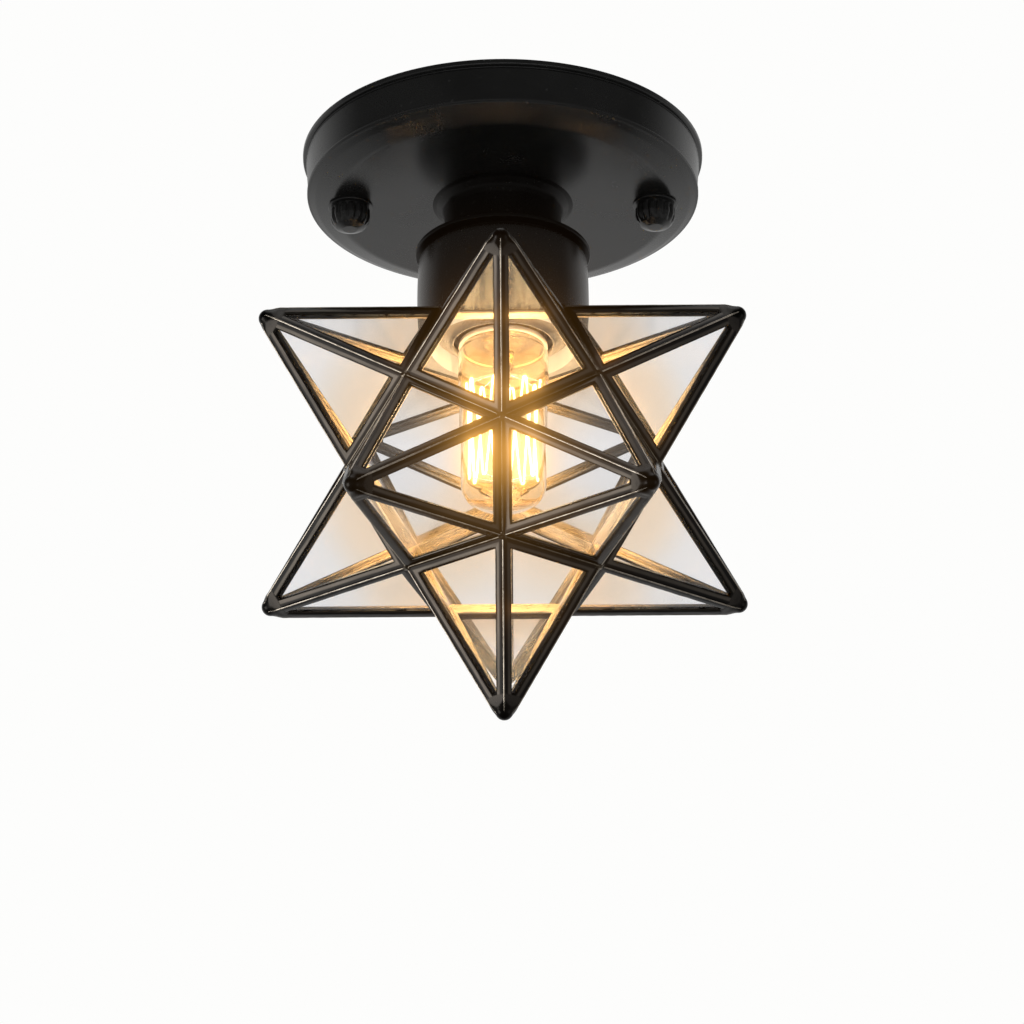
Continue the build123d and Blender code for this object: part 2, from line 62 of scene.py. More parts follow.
# ------------------------------------------------------------------ camera
STAR = Vector((0.0, 0.0, -0.100))
FOCAL = 8697.0  # in pixels of the 1024 x 1024 picture
below, turn, distance = math.radians(26.6), math.radians(0.51), 2.500
back = Vector((math.sin(turn) * math.cos(below), -math.cos(turn) * math.cos(below), -math.sin(below)))
camera_data = bpy.data.cameras.new("camera")
camera_data.sensor_width = 36.0
camera_data.lens = 36.0 * FOCAL / 1024
camera_data.clip_start, camera_data.clip_end = 0.05, 50
camera = bpy.data.objects.new("camera", camera_data)
scene.collection.objects.link(camera)
camera.location = STAR + back * distance
look = (-back).to_track_quat("-Z", "Y")
aim = STAR + look @ Vector((8.3, -50.6, 0)) * (distance / FOCAL)
camera.rotation_mode = "QUATERNION"
camera.rotation_quaternion = (aim - camera.location).to_track_quat("-Z", "Y") @ Quaternion((0, 0, 1), math.radians(-0.2))
scene.camera = camera


# --------------------------------------------------------------- node helpers
class Mat:
    """A small builder for one procedural material. Patterns follow the object's own space, in metres."""

    def __init__(self, name):
        self.mat = bpy.data.materials.new(name)
        self.mat.use_nodes = True
        self.nt = self.mat.node_tree
        self.nt.nodes.clear()
        self.out = self.nt.nodes.new("ShaderNodeOutputMaterial")
        self.bsdf = self.nt.nodes.new("ShaderNodeBsdfPrincipled")
        self.link(self.bsdf.outputs[0], self.out.inputs["Surface"])
        self.coord = self.nt.nodes.new("ShaderNodeTexCoord")

    def link(self, a, b):
        self.nt.links.new(a, b)

    def put(self, node, key, value):
        socket = node.inputs[key]
        if isinstance(value, bpy.types.NodeSocket):
            self.link(value, socket)
        elif isinstance(value, tuple) and len(value) == 3 and socket.type == "RGBA":
            socket.default_value = (*value, 1.0)
        else:
            socket.default_value = value

    def set(self, **values):
        for key, value in values.items():
            self.put(self.bsdf, key.replace("_", " ").replace("Specular IOR", "Specular IOR"), value)

    def node(self, kind, props=None, **inputs):
        n = self.nt.nodes.new("ShaderNode" + kind)
        for key, value in (props or {}).items():
            setattr(n, key, value)
        for key, value in inputs.items():
            self.put(n, int(key[1:]) if key[0] == "i" and key[1:].isdigit() else key.replace("_", " "), value)
        return n

    def space(self, scale=(1, 1, 1), rotation=(0, 0, 0), source="Object"):
        return self.node("Mapping", Vector=self.coord.outputs[source], Scale=scale, Rotation=rotation).outputs[0]

    def uv(self, scale=(1, 1, 1), layer="strip"):
        u = self.node("UVMap", {"uv_map": layer})
        return self.node("Mapping", Vector=u.outputs[0], Scale=scale).outputs[0]

    def noise(self, vector, scale, detail=2.0, roughness=0.5, distortion=0.0):
        n = self.node("TexNoise", Vector=vector, Scale=scale, Detail=detail, Roughness=roughness,
                      Distortion=distortion)
        return n.outputs["Fac"] if "Fac" in n.outputs else n.outputs[0]

    def ramp(self, value, stops, interpolation="LINEAR"):
        n = self.node("ValToRGB", Fac=value)
        r = n.color_ramp
        r.interpolation = interpolation
        while len(r.elements) > 1:
            r.elements.remove(r.elements[-1])
        for i, (at, colour) in enumerate(stops):
            e = r.elements[0] if i == 0 else r.elements.new(at)
            e.position = at
            if isinstance(colour, (int, float)):
                colour = (colour,) * 3
            e.color = (*colour, 1.0)
        return n.outputs[0]

    def range(self, value, a, b, c, d):
        return self.node("MapRange", Value=value, i1=a, i2=b, i3=c, i4=d).outputs[0]

    def math(self, kind, a, b=0.0):
        return self.node("Math", {"operation": kind}, i0=a, i1=b).outputs[0]

    def mix(self, factor, a, b):
        n = self.node("Mix", {"data_type": "RGBA"})
        self.put(n, 0, factor)
        self.put(n, 6, a)
        self.put(n, 7, b)
        return n.outputs[2]

    def bump(self, height, strength=0.3, distance=0.0001, normal=None):
        n = self.node("Bump", Height=height, Strength=strength, Distance=distance)
        if normal is not None:
            self.link(normal, n.inputs["Normal"])
        return n.outputs[0]


def tint(colour, k):
    return tuple(min(1.0, c * k) for c in colour)


# ------------------------------------------------------------------ materials
def coated_metal(name, base, rough, grain=1700.0, depth=0.05, wave=0.0, gloss=0.5):
    """Satin black coat on metal: fine grain, cloudy gloss and a faint dust of lighter spots."""
    m = Mat(name)
    p = m.space()
    cloud = m.noise(p, 42.0, 4.0, 0.55)
    fine = m.noise(p, grain, 2.0, 0.6)
    spots = m.ramp(m.noise(p, 620.0, 1.0), ((0.0, 0.0), (0.70, 0.0), (0.80, 1.0)))
    colour = m.mix(m.range(cloud, 0.3, 0.7, 0.0, 1.0), tint(base, 0.78), tint(base, 1.25))
    colour = m.mix(m.math("MULTIPLY", spots, 0.10), colour, (0.12, 0.12, 0.11))
    m.set(Base_Color=colour, Metallic=0.0, IOR=1.5)
    m.bsdf.inputs["Specular IOR Level"].default_value = gloss
    m.set(Roughness=m.range(m.math("ADD", m.math("MULTIPLY", cloud, 0.7), m.math("MULTIPLY", fine, 0.3)), 0.3, 0.7,
                            rough - 0.05, rough + 0.06))
    height = m.bump(fine, depth, 0.00006)
    if wave:
        height = m.bump(m.noise(p, 26.0, 2.0), wave, 0.002, height)
    m.set(Normal=height)
    return m.mat


def worn_metal(name, base, rough, metallic=1.0, streak=None, patina=None, depth=0.12, amount=0.5, scale=120.0):
    """Bare or patinated metal: clouds of patina, brush streaks and uneven gloss."""
    m = Mat(name)
    p = m.space(streak or (1, 1, 1))
    cloud = m.noise(m.space(), scale, 5.0, 0.6, 0.4)
    lines = m.noise(p, 900.0, 3.0, 0.55)
    colour = m.mix(m.range(lines, 0.25, 0.75, 0.0, 1.0), tint(base, 0.82), tint(base, 1.15))
    if patina:
        colour = m.mix(m.range(cloud, 0.45, 0.72, 0.0, amount), colour, patina)
    m.set(Base_Color=colour, Metallic=metallic)
    m.set(Roughness=m.range(m.math("ADD", m.math("MULTIPLY", cloud, 0.5), m.math("MULTIPLY", lines, 0.5)), 0.3, 0.7,
                            rough - 0.07, rough + 0.09))
    m.set(Normal=m.bump(lines, depth, 0.00005))
    return m.mat


def strip_metal(name, base, light, rough, far=None, shade_bands=None):
    """Folded strip with a dark bronze patina. Drawn lines run along the strip, and the patina is thin where hands and
    the iron have rubbed it, near the ridge. With shade bands, the half of the strip next to the ridge is painted darker
    than the half next to the glass, and faces turned downwards are painted darker too: painted shade. With a far
    colour, the strip is painted golden near the bulb and darker and greyer away from it: painted lamplight."""
    m = Mat(name)
    lines = m.noise(m.uv((45, 2600, 1)), 1.0, 3.0, 0.6)
    broad = m.noise(m.uv((60, 420, 1)), 1.0, 2.0, 0.5)
    cloud = m.noise(m.space(), 150.0, 4.0, 0.6, 0.3)
    across = m.node("SeparateXYZ", Vector=m.uv()).outputs["Y"]
    edge = m.ramp(m.math("MULTIPLY", across, 320.0), ((0.0, 1.0), (0.12, 0.25), (0.3, 0.0), (0.86, 0.0), (0.95, 0.35)))
    worn = m.math("MULTIPLY", edge, m.range(cloud, 0.35, 0.65, 0.25, 0.9))
    colour = m.mix(m.range(broad, 0.3, 0.7, 0.0, 1.0), tint(base, 0.7), tint(base, 1.4))
    colour = m.mix(m.range(cloud, 0.5, 0.75, 0.0, 0.5), colour, tint(light, 0.45))
    colour = m.mix(worn, colour, light)
    # painted shade: a dark band is painted along the half of the strip next to the ridge
    if shade_bands:
        wander = m.math("MULTIPLY_ADD", broad, 0.06)
        wander.node.inputs[2].default_value = -0.03
        half = m.ramp(m.math("ADD", m.math("MULTIPLY", across, 320.0), wander), shade_bands)
        colour = m.node("Mix", {"data_type": "RGBA", "blend_type": "MULTIPLY"})
        m.put(colour, 0, 1.0)
        m.put(colour, 6, m.mix(worn, m.mix(m.range(broad, 0.3, 0.7, 0.0, 1.0), tint(base, 0.7), tint(base, 1.4)), light))
        m.put(colour, 7, half)
        colour = colour.outputs[2]
        # painted shade: faces turned downwards are painted darker
        underside_shade = m.range(m.node("SeparateXYZ", Vector=m.coord.outputs["Normal"]).outputs["Z"], -0.97, -0.75, 0.36, 1.0)
        shaded_below = m.node("Mix", {"data_type": "RGBA", "blend_type": "MULTIPLY"})
        m.put(shaded_below, 0, 1.0)
        m.put(shaded_below, 6, colour)
        m.put(shaded_below, 7, underside_shade)
        colour = shaded_below.outputs[2]
    if far:  # painted lamplight: the bare side is painted golden near the bulb and darker and greyer away from it
        away = m.node("VectorMath", {"operation": "DISTANCE"}, i0=m.coord.outputs["Object"])
        away.inputs[1].default_value = STAR
        grey = m.mix(m.range(broad, 0.3, 0.7, 0.0, 1.0), tint(far, 0.7), tint(far, 1.3))
        colour = m.mix(m.range(away.outputs["Value"], 0.050, 0.064, 0.0, 1.0), colour, grey)
    m.set(Base_Color=colour, Metallic=0.9)
    m.set(Roughness=m.range(m.math("ADD", m.math("MULTIPLY", cloud, 0.45), m.math("MULTIPLY", lines, 0.55)), 0.3, 0.7,
                            rough - 0.08, rough + 0.10))
    m.set(Normal=m.bump(lines, 0.25, 0.00005, m.bump(broad, 0.3, 0.0002)))
    return m.mat


def end_metal(name, base, tip, rough):
    """The solder end of a point: like the strips where it leaves them, darker where it turns round."""
    m = Mat(name)
    cloud = m.noise(m.space(), 300.0, 4.0, 0.6, 0.4)
    away = m.node("VectorMath", {"operation": "DISTANCE"}, i0=m.coord.outputs["Object"])
    away.inputs[1].default_value = STAR
    reach = m.math("ADD", away.outputs["Value"], m.math("MULTIPLY", cloud, 0.0012))
    colour = m.mix(m.range(reach, 0.0760, 0.0812, 0.0, 1.0), base, tip)
    colour = m.mix(m.range(cloud, 0.45, 0.75, 0.0, 0.5), colour, tint(base, 1.3))
    m.set(Base_Color=colour, Metallic=0.9)
    m.set(Roughness=m.range(cloud, 0.3, 0.7, rough - 0.05, rough + 0.08), Normal=m.bump(cloud, 0.08, 0.00005))
    return m.mat


def clear_glass(name, colour, shadow, rough=0.0, ior=1.5, wave=None):
    """Clear glass. Rays on their way to a lamp pass straight through, so that lamps light what is behind it."""
    m = Mat(name)
    m.set(Base_Color=colour, Roughness=rough, IOR=ior)
    m.bsdf.inputs["Transmission Weight"].default_value = 1.0
    if wave:
        p = m.space()
        m.set(Normal=m.bump(m.noise(p, wave[0], 1.0), wave[1], wave[2]))
    clear = m.node("BsdfTransparent", Color=shadow)
    path = m.node("LightPath")
    both = m.node("MixShader", Fac=path.outputs["Is Shadow Ray"], i1=m.bsdf.outputs[0], i2=clear.outputs[0])
    m.link(both.outputs[0], m.out.inputs["Surface"])
    return m.mat


def pane_glass(name):
    """Flat clear glass, faintly grey at the tips and tinted amber towards the middle of the star: painted lamplight,
    the bulb's glow painted into the glass. A soft haze on the surface spreads what it mirrors."""
    m = Mat(name)
    p = m.space()
    away = m.node("VectorMath", {"operation": "DISTANCE"}, i0=m.coord.outputs["Object"])
    away.inputs[1].default_value = STAR
    cloud = m.noise(p, 22.0, 2.0)
    reach = m.math("ADD", away.outputs["Value"], m.math("MULTIPLY", cloud, 0.010))
    # painted lamplight: amber near the bulb, clear grey towards the tips
    painted_lamp_tint = m.ramp(m.range(reach, 0.034, 0.072, 0.0, 1.0),
                  ((0.0, (0.97, 0.80, 0.62)), (0.28, (0.955, 0.825, 0.69)), (0.58, (0.935, 0.86, 0.775)),
                   (0.78, (0.925, 0.915, 0.912)), (1.0, (0.925, 0.928, 0.942))))
    flow = m.bump(m.noise(p, 18.0, 1.0), 0.04, 0.002)
    half = m.node("Gamma", Color=painted_lamp_tint, Gamma=0.5).outputs[0]  # the tint of one surface out of two
    through = m.node("BsdfRefraction", Color=half, Roughness=0.0, IOR=1.5, Normal=flow)
    sheen = m.node("BsdfGlossy", Color=(1.0, 0.97, 0.93), Roughness=0.13, Normal=flow)
    edge = m.node("Fresnel", IOR=1.5, Normal=flow)
    glass = m.node("MixShader", Fac=edge.outputs[0], i1=through.outputs[0], i2=sheen.outputs[0])
    clear = m.node("BsdfTransparent", Color=(0.95, 0.94, 0.93))
    path = m.node("LightPath")
    both = m.node("MixShader", Fac=path.outputs["Is Shadow Ray"], i1=glass.outputs[0], i2=clear.outputs[0])
    m.nt.nodes.remove(m.bsdf)
    m.link(both.outputs[0], m.out.inputs["Surface"])
    return m.mat


def plastic(name, base, rough, grain=900.0, depth=0.05):
    m = Mat(name)
    p = m.space()
    cloud = m.noise(p, 60.0, 3.0)
    fine = m.noise(p, grain, 2.0)
    m.set(Base_Color=m.mix(m.range(cloud, 0.3, 0.7, 0, 1), tint(base, 0.85), tint(base, 1.12)))
    m.set(Roughness=m.range(fine, 0.3, 0.7, rough - 0.05, rough + 0.07))
    m.set(Normal=m.bump(fine, depth, 0.00008))
    return m.mat


M = {}
M["black"] = coated_metal("satin_black_coat", (0.0075, 0.0075, 0.0072), 0.25, wave=0.05)
M["nut"] = coated_metal("gloss_black_coat", (0.010, 0.010, 0.010), 0.17, grain=900.0, depth=0.12)
# painted shade: the band stops darken the ridge side of the outer strips, and their undersides are darkened too
M["strip"] = strip_metal("bronze_strip", (0.026, 0.0222, 0.0180), (0.10, 0.088, 0.074), 0.21,
                         shade_bands=((0.0, 0.40), (0.12, 0.08), (0.38, 0.09), (0.52, 0.95), (0.86, 1.0), (0.96, 1.1)))
# painted lamplight: the bare inner strip is golden near the bulb and dark grey far from it
M["inner"] = strip_metal("bare_strip_inside", (0.56, 0.47, 0.33), (0.86, 0.76, 0.58), 0.28, (0.085, 0.081, 0.077))
M["ridge"] = worn_metal("ridge_line", (0.33, 0.29, 0.24), 0.20, patina=(0.10, 0.08, 0.06), amount=0.8, scale=200.0)
M["solder"] = worn_metal("dark_solder", (0.10, 0.085, 0.065), 0.20, patina=(0.020, 0.015, 0.011), depth=0.2,
                         amount=0.8, scale=420.0)
M["end"] = end_metal("smooth_end", (0.0150, 0.0128, 0.0104), (0.0045, 0.0040, 0.0036), 0.24)
M["bronze"] = plastic("pale_enamel", (0.26, 0.29, 0.35), 0.42, grain=500.0)
M["cement"] = plastic("basing_cement", (0.13, 0.125, 0.125), 0.6, grain=700.0)
M["rim"] = plastic("cement_rim", (0.75, 0.70, 0.64), 0.5, grain=700.0)
# painted shade: the stem's coat is the canopy's satin black painted darker and duller, for the shade under the canopy
M["stem_black"] = coated_metal("deep_black_coat", (0.0035, 0.0035, 0.0033), 0.30, gloss=0.12)
M["pane"] = pane_glass("pane_glass")
M["bulb"] = clear_glass("bulb_glass", (1.0, 0.90, 0.74), (0.99, 0.93, 0.82), wave=(55.0, 0.10, 0.001))
M["stem_glass"] = clear_glass("stem_glass", (0.995, 0.96, 0.90), (0.95, 0.92, 0.86), ior=1.22, wave=(260.0, 0.6, 0.0006))
M["nickel"] = worn_metal("nickel_plate", (0.50, 0.47, 0.43), 0.22, streak=(1, 1, 9), patina=(0.30, 0.27, 0.23),
                         amount=0.5)
M["skirt"] = worn_metal("skirt_nickel", (0.135, 0.128, 0.122), 0.30, metallic=0.35, streak=(1, 1, 9),
                        patina=(0.095, 0.088, 0.080), amount=0.5)
M["brass"] = worn_metal("brass", (0.66, 0.47, 0.20), 0.26, streak=(1, 1, 6), patina=(0.30, 0.20, 0.09), amount=0.45)
M["zinc"] = worn_metal("zinc_plate", (0.58, 0.59, 0.61), 0.33, streak=(1, 9, 1), patina=(0.36, 0.37, 0.40), amount=0.6)
M["steel"] = worn_metal("bright_steel", (0.52, 0.52, 0.53), 0.27, streak=(1, 1, 8), patina=(0.30, 0.30, 0.30),
                        amount=0.4)
M["green"] = worn_metal("green_screw", (0.04, 0.22, 0.09), 0.32, metallic=0.7, patina=(0.02, 0.10, 0.05), amount=0.6)
M["copper"] = worn_metal("bare_copper", (0.72, 0.36, 0.19), 0.26, patina=(0.34, 0.16, 0.09), amount=0.6)
M["tin"] = worn_metal("solder_tin", (0.62, 0.62, 0.64), 0.24, patina=(0.40, 0.40, 0.41), amount=0.6, depth=0.3)
M["phenolic"] = plastic("black_phenolic", (0.022, 0.021, 0.022), 0.38)
M["wire_black"] = plastic("black_lead", (0.018, 0.018, 0.019), 0.30)
M["wire_white"] = plastic("white_lead", (0.78, 0.77, 0.73), 0.36)
M["orange"] = plastic("orange_connector", (0.72, 0.20, 0.025), 0.42)
M["vitrite"] = plastic("black_glass", (0.012, 0.012, 0.016), 0.10)

hot = Mat("glowing_filament")
coil = hot.noise(hot.space(), 1400.0, 1.0)
mirrored = hot.math("MINIMUM", hot.node("LightPath").outputs["Glossy Depth"], 1.0)  # the panes mirror it softly
glow = hot.node("Emission", Color=hot.ramp(coil, ((0.3, (1.0, 0.76, 0.42)), (0.7, (1.0, 0.82, 0.50)))),
                Strength=hot.range(mirrored, 0.0, 1.0, 60.0, 6.0))
hot.link(glow.outputs[0], hot.out.inputs["Surface"])
hot.nt.nodes.remove(hot.bsdf)
hot.mat.cycles.emission_sampling = "NONE"
M["hot"] = hot.mat


# --------------------------------------------------------------- mesh helpers
def finish_mesh(name, bm, materials, body, replaces=(), sharp=40.0):
    """Makes the piece. Meshes are built in millimetres and become metres here."""
    bmesh.ops.transform(bm, matrix=Matrix.Scale(MM, 4), verts=bm.verts)
    bmesh.ops.recalc_face_normals(bm, faces=bm.faces)
    mesh = bpy.data.meshes.new(name)
    bm.to_mesh(mesh)
    bm.free()
    for m in materials:
        mesh.materials.append(m)
    mesh.shade_smooth()
    mesh.set_sharp_from_angle(angle=math.radians(sharp))
    ob = bpy.data.objects.new(name, mesh)
    scene.collection.objects.link(ob)
    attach(ob, body)
    if replaces:
        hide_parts(*replaces)
    return ob


def rounded(points, steps=6):
    """A profile in millimetres from points (r, z) or (r, z, fillet radius)."""
    n, line = len(points), []
    for i, p in enumerate(points):
        here = Vector(p[:2])
        radius = p[2] if len(p) > 2 else 0.0
        if radius <= 0:
            line.append(here)
            continue
        a = (Vector(points[i - 1][:2]) - here)
        b = (Vector(points[(i + 1) % n][:2]) - here)
        la, lb = a.length, b.length
        a, b = a / la, b / lb
        angle = math.acos(max(-1.0, min(1.0, a.dot(b))))
        if angle > math.pi - 1e-3:
            line.append(here)
            continue
        cut = min(radius / math.tan(angle / 2), 0.49 * la, 0.49 * lb)
        radius = cut * math.tan(angle / 2)
        centre = here + (a + b).normalized() * (radius / math.sin(angle / 2))
        start, end = here + a * cut - centre, here + b * cut - centre
        sweep = math.atan2(start.x * end.y - start.y * end.x, start.dot(end))
        for s in range(steps + 1):
            t = sweep * s / steps
            line.append(centre + Vector((start.x * math.cos(t) - start.y * math.sin(t),
                                         start.x * math.sin(t) + start.y * math.cos(t))))
    return line


def spin(bm, line, segments=160, centre=(0.0, 0.0), material=0, closed=True, radius=None, layer=None):
    """Turns a profile (millimetres) about the vertical through centre. radius(r, z, angle) may reshape it."""
    rings = []
    for r, z in line:
        if r < 1e-5:
            rings.append([bm.verts.new((centre[0], centre[1], z))])
            continue
        ring = []
        for s in range(segments):
            a = 2 * math.pi * s / segments
            rr = radius(r, z, a) if radius else r
            ring.append(bm.verts.new((centre[0] + rr * math.cos(a), centre[1] + rr * math.sin(a), z)))
        rings.append(ring)
    pairs = list(zip(rings, rings[1:])) + ([(rings[-1], rings[0])] if closed else [])
    for low, high in pairs:
        if len(low) == 1 and len(high) == 1:
            continue
        for s in range(segments):
            t = (s + 1) % segments
            if len(low) == 1:
                f = bm.faces.new((low[0], high[t], high[s]))
            elif len(high) == 1:
                f = bm.faces.new((low[s], low[t], high[0]))
            else:
                f = bm.faces.new((low[s], low[t], high[t], high[s]))
            f.material_index = material
    return rings


def lathe(name, profile, material, body, replaces=(), segments=160, centre=(0.0, 0.0), radius=None,
          sharp=40.0, closed=True, steps=6):
    bm = bmesh.new()
    spin(bm, rounded(profile, steps), segments, centre, 0, closed, radius)
    return finish_mesh(name, bm, [material], body, replaces, sharp)


def smooth_path(points, radius, steps=6):
    """A polyline through points (Vectors, millimetres) with round corners."""
    out = [points[0]]
    for i in range(1, len(points) - 1):
        here = points[i]
        a, b = points[i - 1] - here, points[i + 1] - here
        la, lb = a.length, b.length
        a, b = a / la, b / lb
        angle = math.acos(max(-1.0, min(1.0, a.dot(b))))
        if angle > math.pi - 0.02:
            out.append(here)
            continue
        cut = min(radius / math.tan(angle / 2), 0.48 * la, 0.48 * lb)
        start, end = here + a * cut, here + b * cut
        for s in range(steps + 1):
            t = s / steps
            out.append(start * (1 - t) ** 2 + here * 2 * t * (1 - t) + end * t ** 2)
    out.append(points[-1])
    return out


def tube(bm, path, radius, sides=12, material=0, caps=True, closed=False, uv=None):
    """A tube along path (Vectors, millimetres). radius is a number or radius(index)."""
    rings, normal = [], None
    n = len(path)
    for i, p in enumerate(path):
        if closed:
            along = (path[(i + 1) % n] - path[i - 1]).normalized()
        else:
            along = (path[min(i + 1, n - 1)] - path[max(i - 1, 0)]).normalized()
        if normal is None:
            normal = along.orthogonal().normalized()
        normal = (normal - along * normal.dot(along)).normalized()
        side = along.cross(normal)
        r = radius(i) if callable(radius) else radius
        rings.append([bm.verts.new(p + (normal * math.cos(2 * math.pi * k / sides)
                                        + side * math.sin(2 * math.pi * k / sides)) * r)
                      for k in range(sides)])
    spans = list(zip(rings, rings[1:])) + ([(rings[-1], rings[0])] if closed else [])
    for a, b in spans:
        for k in range(sides):
            j = (k + 1) % sides
            f = bm.faces.new((a[k], a[j], b[j], b[k]))
            f.material_index = material
    if caps and not closed:
        bm.faces.new(list(reversed(rings[0]))).material_index = material
        bm.faces.new(rings[-1]).material_index = material
    return rings


def give(node, material):
    mesh = NODES[node].data
    mesh.materials.clear()
    mesh.materials.append(material)


def drill(ob, holes):
    """Cuts round vertical holes (x, y, radius, low, high in millimetres) through a piece."""
    bm = bmesh.new()
    for x, y, r, low, high in holes:
        spin(bm, [Vector((0, low)), Vector((r, low)), Vector((r, high)), Vector((0, high))], 48, (x, y), closed=False)
    bmesh.ops.transform(bm, matrix=Matrix.Scale(MM, 4), verts=bm.verts)
    bmesh.ops.recalc_face_normals(bm, faces=bm.faces)
    mesh = bpy.data.meshes.new("drill")
    bm.to_mesh(mesh)
    bm.free()
    tool = bpy.data.objects.new("drill", mesh)
    scene.collection.objects.link(tool)
    cut = ob.modifiers.new("holes", "BOOLEAN")
    cut.operation, cut.solver, cut.object = "DIFFERENCE", "EXACT", tool
    bpy.context.view_layer.update()
    made = bpy.data.meshes.new_from_object(ob.evaluated_get(bpy.context.evaluated_depsgraph_get()))
    old = ob.data
    ob.modifiers.clear()
    ob.data = made
    bpy.data.meshes.remove(old)
    bpy.data.objects.remove(tool)
    bpy.data.meshes.remove(mesh)
    made.shade_smooth()
    made.set_sharp_from_angle(angle=math.radians(40))


# ------------------------------------------------------------------ canopy
canopy_profile = [
    (5.1, -16.5), (49.0, -16.5, 6.5), (54.6, -14.75, 4.0), (56.3, -13.85, 0.35), (57.0, -13.62, 0.22),
    (57.1, -13.25, 0.16), (56.82, -13.05, 0.08), (57.1, -12.85, 0.16), (57.0, -12.45, 0.2), (56.75, -12.3, 0.25),
    (57.45, -2.75, 0.5), (57.05, -2.25, 0.25), (57.1, -1.95, 0.2),
    (58.35, -1.75, 0.5), (58.4, -0.05, 0.5), (57.0, 0.0, 0.4), (56.15, -2.6, 0.6), (55.5, -12.8, 1.6),
    (49.6, -15.3, 3.0), (5.1, -15.3)]
canopy = lathe("canopy_shell", canopy_profile, M["black"], "fixture", ("canopy",), 256, steps=7)
drill(canopy, [(44.45, 0, 2.4, -18, -14), (-44.45, 0, 2.4, -18, -14)])

# -------------------------------------------------------------------- stem
stem_profile = [
    (5.1, -16.52), (20.4, -16.52), (19.2, -16.9, 0.8), (17.35, -18.6, 2.2), (17.0, -20.5, 2.0),
    (17.0, -32.2, 5.4), (25.2, -32.2, 0.25), (25.4, -32.5, 0.3), (25.4, -33.3, 0.3), (25.2, -33.5, 0.2),
    (22.0, -33.5, 0.15), (22.0, -35.0), (15.8, -35.0), (15.8, -17.7, 0.8), (5.1, -17.7)]
lathe("stem_neck", stem_profile, M["stem_black"], "fixture", ("stem",), 192, steps=8)

# --------------------------------------------------------------- shade cup
cup_points = [(22.95, -61.4, 0.2), (24.2, -61.4, 0.4)]
for i in range(13):
    t = i / 12
    z = -60.6 + t * 23.2
    r = 24.9 - 0.72 * ((z + 48.5) / 12.1) ** 2 if z < -48.5 else 24.9 - 0.30 * ((z + 48.5) / 11.2) ** 2
    cup_points.append((r, z))
cup_points += [(24.5, -35.0, 1.5), (15.8, -35.0), (15.8, -36.2), (23.3, -36.2, 0.7)]
for i in range(9):
    t = i / 8
    z = -37.6 - t * 22.8
    r = 23.7 - 0.72 * ((z + 48.5) / 12.1) ** 2 if z < -48.5 else 23.7 - 0.30 * ((z + 48.5) / 11.2) ** 2
    cup_points.append((r, z))
lathe("cup_shell", cup_points, M["black"], "fixture", ("shade_cup",), 224, steps=6)

# ---------------------------------------------------------------- cap nuts
for side, x, turned in (("left", -44.45, 0.35), ("right", 44.45, 1.1)):
    top = -17.1

    def flutes(r, z, a, turned=turned, top=top):
        if r < 3.2 or z > top - 0.55:
            return r
        depth = min(1.0, max(0.0, (top - 0.55 - z) / 0.5)) * min(1.0, max(0.0, (z - (top - 6.2)) / 1.3))
        wave = abs(math.sin(7 * (a + turned)))
        return r - 0.62 * depth * (1 - wave ** 0.75)

    nut = [(0, top - 7.0), (2.2, top - 6.98, 1.2), (4.35, top - 6.2, 1.2), (5.35, top - 5.0, 1.0),
           (5.8, top - 3.6, 0.8), (5.8, top - 1.05, 0.35), (5.45, top - 0.6, 0.2), (5.45, top, 0.15),
           (2.15, top), (2.15, top - 5.6), (0, top - 6.0)]
    lathe("cap_nut_" + side + "_knurled", nut, M["nut"], side + "_nut", ("cap_nut_" + side,), 168,
          (x, 0.0), flutes, closed=False, steps=5)
    washer = [(2.3, top), (2.3, -16.52), (6.5, -16.52, 0.12), (6.5, top, 0.3)]
    lathe("washer_" + side, washer, M["nut"], side + "_nut_travel", ("nut_washer_" + side,), 96, (x, 0.0))

# ------------------------------------------------------------ socket skirt
skirt = [(18.66, -50.0), (19.6, -50.0, 0.3), (19.6, -57.2), (19.5, -58.6, 0.8), (17.4, -59.4, 2.2),
         (14.9, -60.9, 2.0), (14.38, -62.4, 0.2), (13.97, -62.4, 0.2), (14.1, -60.6, 2.0), (16.2, -58.6, 2.0),
         (18.66, -57.7, 0.5)]
lathe("skirt_bell", skirt, M["skirt"], "fixture", ("socket_skirt",), 128)

# --------------------------------------------------------------- star shade
CORE_IN, CORE_D, TIP = 23.50, 38.03, 85.04
BALL = 2.6
LEAN = math.atan(CORE_IN / (TIP - CORE_D))
SLANT = math.hypot(CORE_IN, TIP - CORE_D)
HALF_EDGE = CORE_IN * math.tan(math.radians(36))
HALF_APEX = math.atan(HALF_EDGE / SLANT)
VERTEX = CORE_IN / math.cos(math.radians(36))
TILT = math.atan(0.5)


def direction(az, el):
    return Vector((math.cos(el) * math.sin(math.radians(az)), -math.cos(el) * math.cos(math.radians(az)), math.sin(el)))


def point_matrix(axis, toward):
    x = (toward - axis * toward.dot(axis)).normalized()
    y = axis.cross(x)
    m = Matrix((x, y, axis)).transposed().to_4x4()
    m.translation = STAR / MM
    return m


